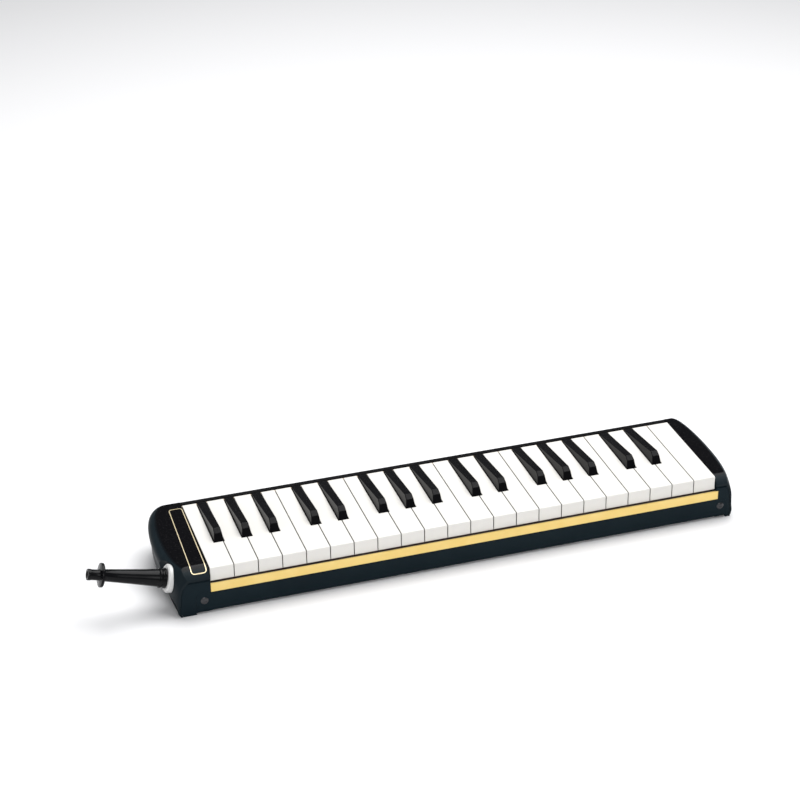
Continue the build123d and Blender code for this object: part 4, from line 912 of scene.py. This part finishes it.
@dataclass
class Fasteners:
    """The case's screws."""

    layout: Layout
    paint: Paint

    def build(self) -> None:
        """Builds the case's screws, at the ends and underneath."""
        low, high = (tuple(value / MM for value in corner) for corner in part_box("lower_cover"))
        xs = (self.layout.left - 5.3, self.layout.right + 4.3)
        spots: list[Point] = []
        ways: list[Point] = []
        for x in xs:
            spots += [(x, self.layout.case_front, 10.8), (x, self.layout.case_rear, 10.8)]
            ways += [(0, -1, 0), (0, 1, 0)]
        wide = self.layout.pitch * self.layout.white_keys
        under = [(self.layout.left + wide * share, -33.1, low[2]) for share in (0.16, 0.5, 0.84)]
        self._screws("cover_screws_visual", spots, ways, (2.8, 1.0, 1.5, 5.2), "cover_screws",
                     "screw_black", under)

    def _screws(self, name: str, spots: list[Point], ways: list[Point],
                sizes: tuple[float, float, float, float], node: str, finish: str,
                under: list[Point]) -> None:
        """Domed cross-head screws at given spots.

        Args:
            name: The piece's name.
            spots: The middle of each head's underside.
            ways: The direction each head faces.
            sizes: Head radius, head height, shank radius and shank length.
            node: CAD node that the screws stand for.
            finish: Name of their finish.
            under: Spots of the screws that face down.
        """
        spots, ways = spots + under, ways + [(0, 0, -1)] * len(under)
        flat = [1.0] * (len(spots) - len(under)) + [0.6] * len(under)
        head, rise, shank, length = (value * MM for value in sizes)
        tree = PieceTree("cross_head_screws", **{"Head Radius": head, "Head Height": rise,
                                                 "Shank Radius": shank, "Shank Length": length,
                                                 "Slot Width": 0.75 * MM, "Slot Length": 3.2 * MM,
                                                 "Dome Radius": 5.0 * MM})
        disc = tree.node("MeshCylinder", {"Radius": tree.size("Head Radius"),
                                          "Depth": tree.size("Head Height")}, {"Vertices": 32})
        lifted = tree.node("Transform", {"Geometry": disc.outputs[0]})
        half = tree.sum_of(tree.size("Head Height"), 0.5, "MULTIPLY")
        tree.tree.links.new(tree.node("ShaderNodeCombineXYZ", {"Z": half}).outputs[0],
                            lifted.inputs["Translation"])
        ball = tree.node("MeshUVSphere", {"Radius": tree.size("Dome Radius")},
                         {"Segments": 48, "Rings": 32})
        sunk = tree.node("Transform", {"Geometry": ball.outputs[0]})
        depth = tree.sum_of(tree.size("Head Height"), tree.size("Dome Radius"), "SUBTRACT")
        tree.tree.links.new(tree.node("ShaderNodeCombineXYZ", {"Z": depth}).outputs[0],
                            sunk.inputs["Translation"])
        dome = tree.node("MeshBoolean", operation="INTERSECT", solver="EXACT")
        tree.tree.links.new(lifted.outputs[0], dome.inputs["Mesh 2"])
        tree.tree.links.new(sunk.outputs[0], dome.inputs["Mesh 2"])
        bars = []
        for turn in (0.0, math.pi / 2):
            size = tree.node("ShaderNodeCombineXYZ", {"X": tree.size("Slot Length"),
                                                      "Y": tree.size("Slot Width"),
                                                      "Z": tree.size("Head Height")})
            bar = tree.node("MeshCube", {"Size": size.outputs[0]})
            move = tree.node("Transform", {"Geometry": bar.outputs["Mesh"]}, {"Rotation": (0, 0, turn)})
            tree.tree.links.new(
                tree.node("ShaderNodeCombineXYZ", {"Z": tree.size("Head Height")}).outputs[0],
                move.inputs["Translation"])
            bars.append(move)
        slotted = tree.node("MeshBoolean", {"Mesh 1": dome.outputs["Mesh"]}, operation="DIFFERENCE",
                            solver="EXACT")
        for bar in bars:
            tree.tree.links.new(bar.outputs[0], slotted.inputs["Mesh 2"])
        stem = tree.node("MeshCylinder", {"Radius": tree.size("Shank Radius"),
                                          "Depth": tree.size("Shank Length")}, {"Vertices": 16})
        sunk_stem = tree.node("Transform", {"Geometry": stem.outputs[0]})
        down = tree.sum_of(tree.size("Shank Length"), -0.5, "MULTIPLY")
        tree.tree.links.new(tree.node("ShaderNodeCombineXYZ", {"Z": down}).outputs[0],
                            sunk_stem.inputs["Translation"])
        whole = tree.node("JoinGeometry")
        tree.tree.links.new(slotted.outputs["Mesh"], whole.inputs[0])
        tree.tree.links.new(sunk_stem.outputs[0], whole.inputs[0])
        facing = tree.node("InputNamedAttribute", values={"Name": "facing"}, data_type="FLOAT_VECTOR")
        squat = tree.node("InputNamedAttribute", values={"Name": "squat"}, data_type="FLOAT")
        turn = tree.node("FunctionNodeAlignRotationToVector", {"Vector": facing.outputs["Attribute"]},
                         axis="Z")
        scale = tree.node("ShaderNodeCombineXYZ", {"Z": squat.outputs["Attribute"]}, {"X": 1.0, "Y": 1.0})
        placed = tree.node("InstanceOnPoints", {"Points": tree.size("Seed"),
                                                "Instance": whole.outputs[0],
                                                "Rotation": turn.outputs[0],
                                                "Scale": scale.outputs[0]})
        seed = seed_points(name, spots, {"facing": ways, "squat": flat})
        piece = tree.run(name, seed, placed.outputs[0], self.paint[finish])
        smooth(piece)
        stand_in(piece, Body.CASE, "steel", node)


@dataclass
class Mouth:
    """The mouthpiece, its pale collar and the drain button."""

    layout: Layout
    paint: Paint
    tilt: float = 15.0
    reach: float = 29.1
    y: float = -31.9
    z: float = 24.0
    length: float = 56.5
    plug: float = 6.2
    sides: int = 96

    @property
    def origin(self) -> Vector:
        """Middle of the collar's face."""
        return Vector((self.layout.left - self.reach, self.y, self.z))

    @property
    def out(self) -> Vector:
        """Unit vector along the mouthpiece, away from the case."""
        turn = math.radians(self.tilt)
        return Vector((-math.cos(turn), 0, math.sin(turn)))

    def build(self) -> None:
        """Builds the mouthpiece and dresses the collar, the drain button and the inlet duct."""
        mouthpiece = self._turned("mouthpiece_visual", self._mouth_profile(), "mouth_black")
        stand_in(mouthpiece, Body.MOUTHPIECE, "mouthpiece_plastic", "mouthpiece")
        dress("mouthpiece_collar", self.paint["collar_grey"])
        dress("drain_button", self.paint["rim_black"])
        dress("inlet_duct", self.paint["inner_plastic"])

    def _mouth_profile(self) -> list[tuple[float, float]]:
        """Corners of the mouthpiece's section as (radius, way out), closed round its bore."""
        plug, end = self.plug, self.length
        flange = end - 11.1
        profile = [(plug - 1.8, -12.0), (plug, -12.0), (plug, 0.05), (plug + 1.1, 0.05), (plug + 1.1, 1.6),
                   (plug + 0.4, 1.9), (plug + 0.4, 3.1), (plug + 0.9, 3.4), (plug + 0.9, 4.8),
                   (plug + 0.1, 5.6)]
        for share in (0.25, 0.5, 0.75):
            way = 5.6 + (flange - 0.6 - 5.6) * share
            profile.append((plug + 0.1 + (4.35 - plug - 0.1) * share - 0.12 * math.sin(math.pi * share), way))
        profile += [(4.35, flange - 0.6), (4.65, flange), (8.7, flange), (8.7, flange + 2.0),
                    (4.1, flange + 2.3), (3.85, end - 7.9), (3.85, end - 3.2), (4.1, end - 2.1),
                    (4.1, end), (2.5, end), (2.5, end - 10.0)]
        return profile

    def _turned(self, name: str, profile: Sequence[tuple[float, float]], finish: str
                ) -> bpy.types.Object:
        """A body turned about the mouthpiece's axis.

        Args:
            name: The piece's name.
            profile: Closed section as (radius, way out).
            finish: Name of its finish.

        Returns:
            The finished piece, with its edges rounded.
        """
        across = Vector((0, 1, 0))
        origin, out = self.origin, self.out
        upward = out.cross(across).normalized()
        points: list[Vector] = []
        for number in range(self.sides):
            turn = 2 * math.pi * number / self.sides
            spoke = across * math.cos(turn) + upward * math.sin(turn)
            points += [origin + out * way + spoke * radius for radius, way in profile]
        count = len(profile)
        faces = []
        for number in range(self.sides):
            following = (number + 1) % self.sides
            for corner in range(count):
                after = (corner + 1) % count
                faces.append((number * count + corner, number * count + after,
                              following * count + after, following * count + corner))
        piece = mesh_piece(name, points, faces, self.paint[finish])
        smooth(piece)
        soften_edges(piece, 0.3, 3)
        return piece


@dataclass
class WindWorks:
    """Reed block, plates and reeds, wind chamber, seals and the drain valve's spring."""

    layout: Layout
    paint: Paint
    reed_long: float = 34.0
    reed_short: float = 12.0
    reed_wide: float = 3.6
    reed_narrow: float = 2.2
    reed: float = 0.25
    foot: float = 4.0
    tip_y: float = 35.9
    plate_under: float = 9.2

    def build(self) -> None:
        """Dresses the inner CAD nodes and builds the reeds and the drain spring."""
        for node, finish in (("reed_block", "inner_plastic"), ("wind_chamber", "inner_plastic"),
                             ("reed_plates", "brass"), ("air_seals", "seal_rubber"),
                             ("chamber_screws", "steel")):
            dress(node, self.paint[finish])
        self._reeds()
        self._drain_spring()

    def _reeds(self) -> None:
        """Every tongue and its rivet."""
        spots: list[Point] = []
        sizes: list[Point] = []
        kinds: list[float] = []
        centres = self.layout.tails()
        for number, x in enumerate(centres):
            share = number / (len(centres) - 1)
            length = self.reed_long + (self.reed_short - self.reed_long) * share
            width = self.reed_wide + (self.reed_narrow - self.reed_wide) * share
            root = self.tip_y - length - self.foot
            spots.append((x, (root + self.tip_y) / 2, self.plate_under - self.reed / 2))
            sizes.append((width * MM, (self.tip_y - root) * MM, self.reed * MM))
            kinds.append(0.0)
            spots.append((x, root + self.foot / 2, self.plate_under - self.reed))
            sizes.append((1.0, 1.0, 1.0))
            kinds.append(1.0)
        seed = seed_points("reeds_visual", spots, {"measure": sizes, "is_rivet": kinds})
        tree = PieceTree("reeds_and_rivets", **{"Rivet Radius": 0.8 * MM, "Rivet Height": 0.37 * MM})
        kind = tree.node("InputNamedAttribute", values={"Name": "is_rivet"}, data_type="FLOAT")
        choice = tree.sum_of(kind.outputs["Attribute"], 0.5, "GREATER_THAN")
        parted = tree.node("SeparateGeometry", {"Geometry": tree.size("Seed"), "Selection": choice},
                           domain="POINT")
        measure = tree.node("InputNamedAttribute", values={"Name": "measure"}, data_type="FLOAT_VECTOR")
        tongue = tree.node("MeshCube", values={"Size": (1, 1, 1)})
        tongues = tree.node("InstanceOnPoints", {"Points": parted.outputs["Inverted"],
                                                 "Instance": tongue.outputs["Mesh"],
                                                 "Scale": measure.outputs["Attribute"]})
        button = tree.node("MeshCone", {"Radius Bottom": tree.size("Rivet Radius"),
                                        "Depth": tree.size("Rivet Height")},
                           {"Vertices": 10, "Radius Top": 0.5 * MM})
        rivets = tree.node("InstanceOnPoints", {"Points": parted.outputs["Selection"],
                                                "Instance": button.outputs["Mesh"]},
                           {"Rotation": (math.pi, 0, 0)})
        whole = tree.node("JoinGeometry")
        tree.tree.links.new(tongues.outputs[0], whole.inputs[0])
        tree.tree.links.new(rivets.outputs[0], whole.inputs[0])
        piece = tree.run("reeds_visual", seed, whole.outputs[0], self.paint["brass"])
        stand_in(piece, Body.CASE, "brass", "reeds")

    def _drain_spring(self) -> None:
        """The spring round the drain button's stem."""
        low, high = (tuple(value / MM for value in corner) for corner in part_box("drain_spring"))
        wire = 0.22
        tree = PieceTree("drain_coil", **coil_sizes(1.75, wire, high[0] - low[0] - 2 * wire, 6.0))
        middle = (low[0] + wire, (low[1] + high[1]) / 2, (low[2] + high[2]) / 2)
        piece = tree.run("drain_spring_visual", seed_points("drain_spring_visual", [middle]),
                         coil_geometry(tree, (0, math.pi / 2, 0)), self.paint["steel"])
        piece.data.shade_smooth()
        stand_in(piece, Body.CASE, "steel", "drain_spring")


# ---------------------------------------------------------------- studio


@dataclass
class Studio:
    """Pale floor, soft lights and the camera."""

    azimuth: float = -17.52
    elevation: float = 28.81
    roll: float = -0.62
    place: Point = (-0.4098, -1.2827, 0.8580)
    lens: float = 95.77
    backdrop: float = 0.1
    floor_size: float = 8.0

    def build(self) -> None:
        """Builds the floor, the lights and the camera."""
        self._floor()
        self._world()
        self._softbox("top_softbox", (0.35, 0.35, 1.5), (0.0, 0.0, 0.0), (1.7, 1.3), 36.0)
        self._softbox("front_softbox", (-0.3, -1.9, 1.25), (0.0, 0.0, 0.0), (1.6, 0.9), 17.0)
        self._softbox("left_softbox", (-1.7, -0.3, 0.9), (0.0, 0.0, 0.0), (0.9, 1.0), 3.0)
        self._camera()

    def _floor(self) -> None:
        """A plain pale floor under the instrument."""
        half = self.floor_size / 2 / MM
        material = bpy.data.materials.new("pale_floor")
        material.use_nodes = True
        shader = material.node_tree.nodes["Principled BSDF"]
        shader.inputs["Base Color"].default_value = (0.93, 0.93, 0.94, 1)
        shader.inputs["Roughness"].default_value = 0.8
        shader.inputs["Specular IOR Level"].default_value = 0.1
        corners = [(-half, -half, -0.02), (half, -half, -0.02), (half, half, -0.02), (-half, half, -0.02)]
        mesh_piece("floor", corners, [(0, 1, 2, 3)], material)

    def _world(self) -> None:
        """A dim, even surrounding, so that gloss stays deep."""
        world = bpy.data.worlds.new("studio")
        bpy.context.scene.world = world
        world.use_nodes = True
        background = world.node_tree.nodes["Background"]
        background.inputs["Color"].default_value = (0.95, 0.97, 1.0, 1)
        background.inputs["Strength"].default_value = self.backdrop

    @staticmethod
    def _softbox(name: str, place: Point, target: Point, size: tuple[float, float],
                 power: float) -> None:
        """A rectangular soft light that faces a target.

        Args:
            name: The light's name.
            place: Its middle, in metres.
            target: The point it faces.
            size: Width and height in metres.
            power: Watts.
        """
        light = bpy.data.lights.new(name, "AREA")
        light.shape = "RECTANGLE"
        light.size, light.size_y = size
        light.energy = power
        lamp = bpy.data.objects.new(name, light)
        bpy.context.scene.collection.objects.link(lamp)
        lamp.location = place
        lamp.rotation_euler = (Vector(target) - Vector(place)).to_track_quat("-Z", "Y").to_euler()

    def _camera(self) -> None:
        """The camera, aimed by its azimuth, elevation and roll."""
        turn, rise, lean = (math.radians(value) for value in (self.azimuth, self.elevation, self.roll))
        back = Vector((math.sin(turn) * math.cos(rise), -math.cos(turn) * math.cos(rise), math.sin(rise)))
        level = Vector((0, 0, 1)).cross(back).normalized()
        upright = back.cross(level)
        right = level * math.cos(lean) + upright * math.sin(lean)
        up = upright * math.cos(lean) - level * math.sin(lean)
        camera = bpy.data.objects.new("camera", bpy.data.cameras.new("camera"))
        bpy.context.scene.collection.objects.link(camera)
        camera.matrix_world = Matrix((
            (right.x, up.x, back.x, self.place[0]),
            (right.y, up.y, back.y, self.place[1]),
            (right.z, up.z, back.z, self.place[2]),
            (0, 0, 0, 1),
        ))
        camera.data.lens = self.lens
        camera.data.sensor_width = 36.0
        camera.data.clip_start = 0.05
        bpy.context.scene.camera = camera
        bpy.context.scene.view_settings.view_transform = "Standard"


def write_sizes() -> None:
    """Brings the scene's placements up to date."""
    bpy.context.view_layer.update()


def main() -> None:
    """Builds every sub-assembly in order."""
    logging.basicConfig(level=logging.INFO, format="%(name)s: %(message)s")
    layout, paint = Layout(), Paint()
    Studio().build()
    for assembly in (Keyboard(layout, paint), Case(layout, paint), Fasteners(layout, paint),
                     Mouth(layout, paint), WindWorks(layout, paint)):
        assembly.build()
        LOG.info("%s done", type(assembly).__name__)
    write_sizes()


if __name__ == "__main__":
    main()
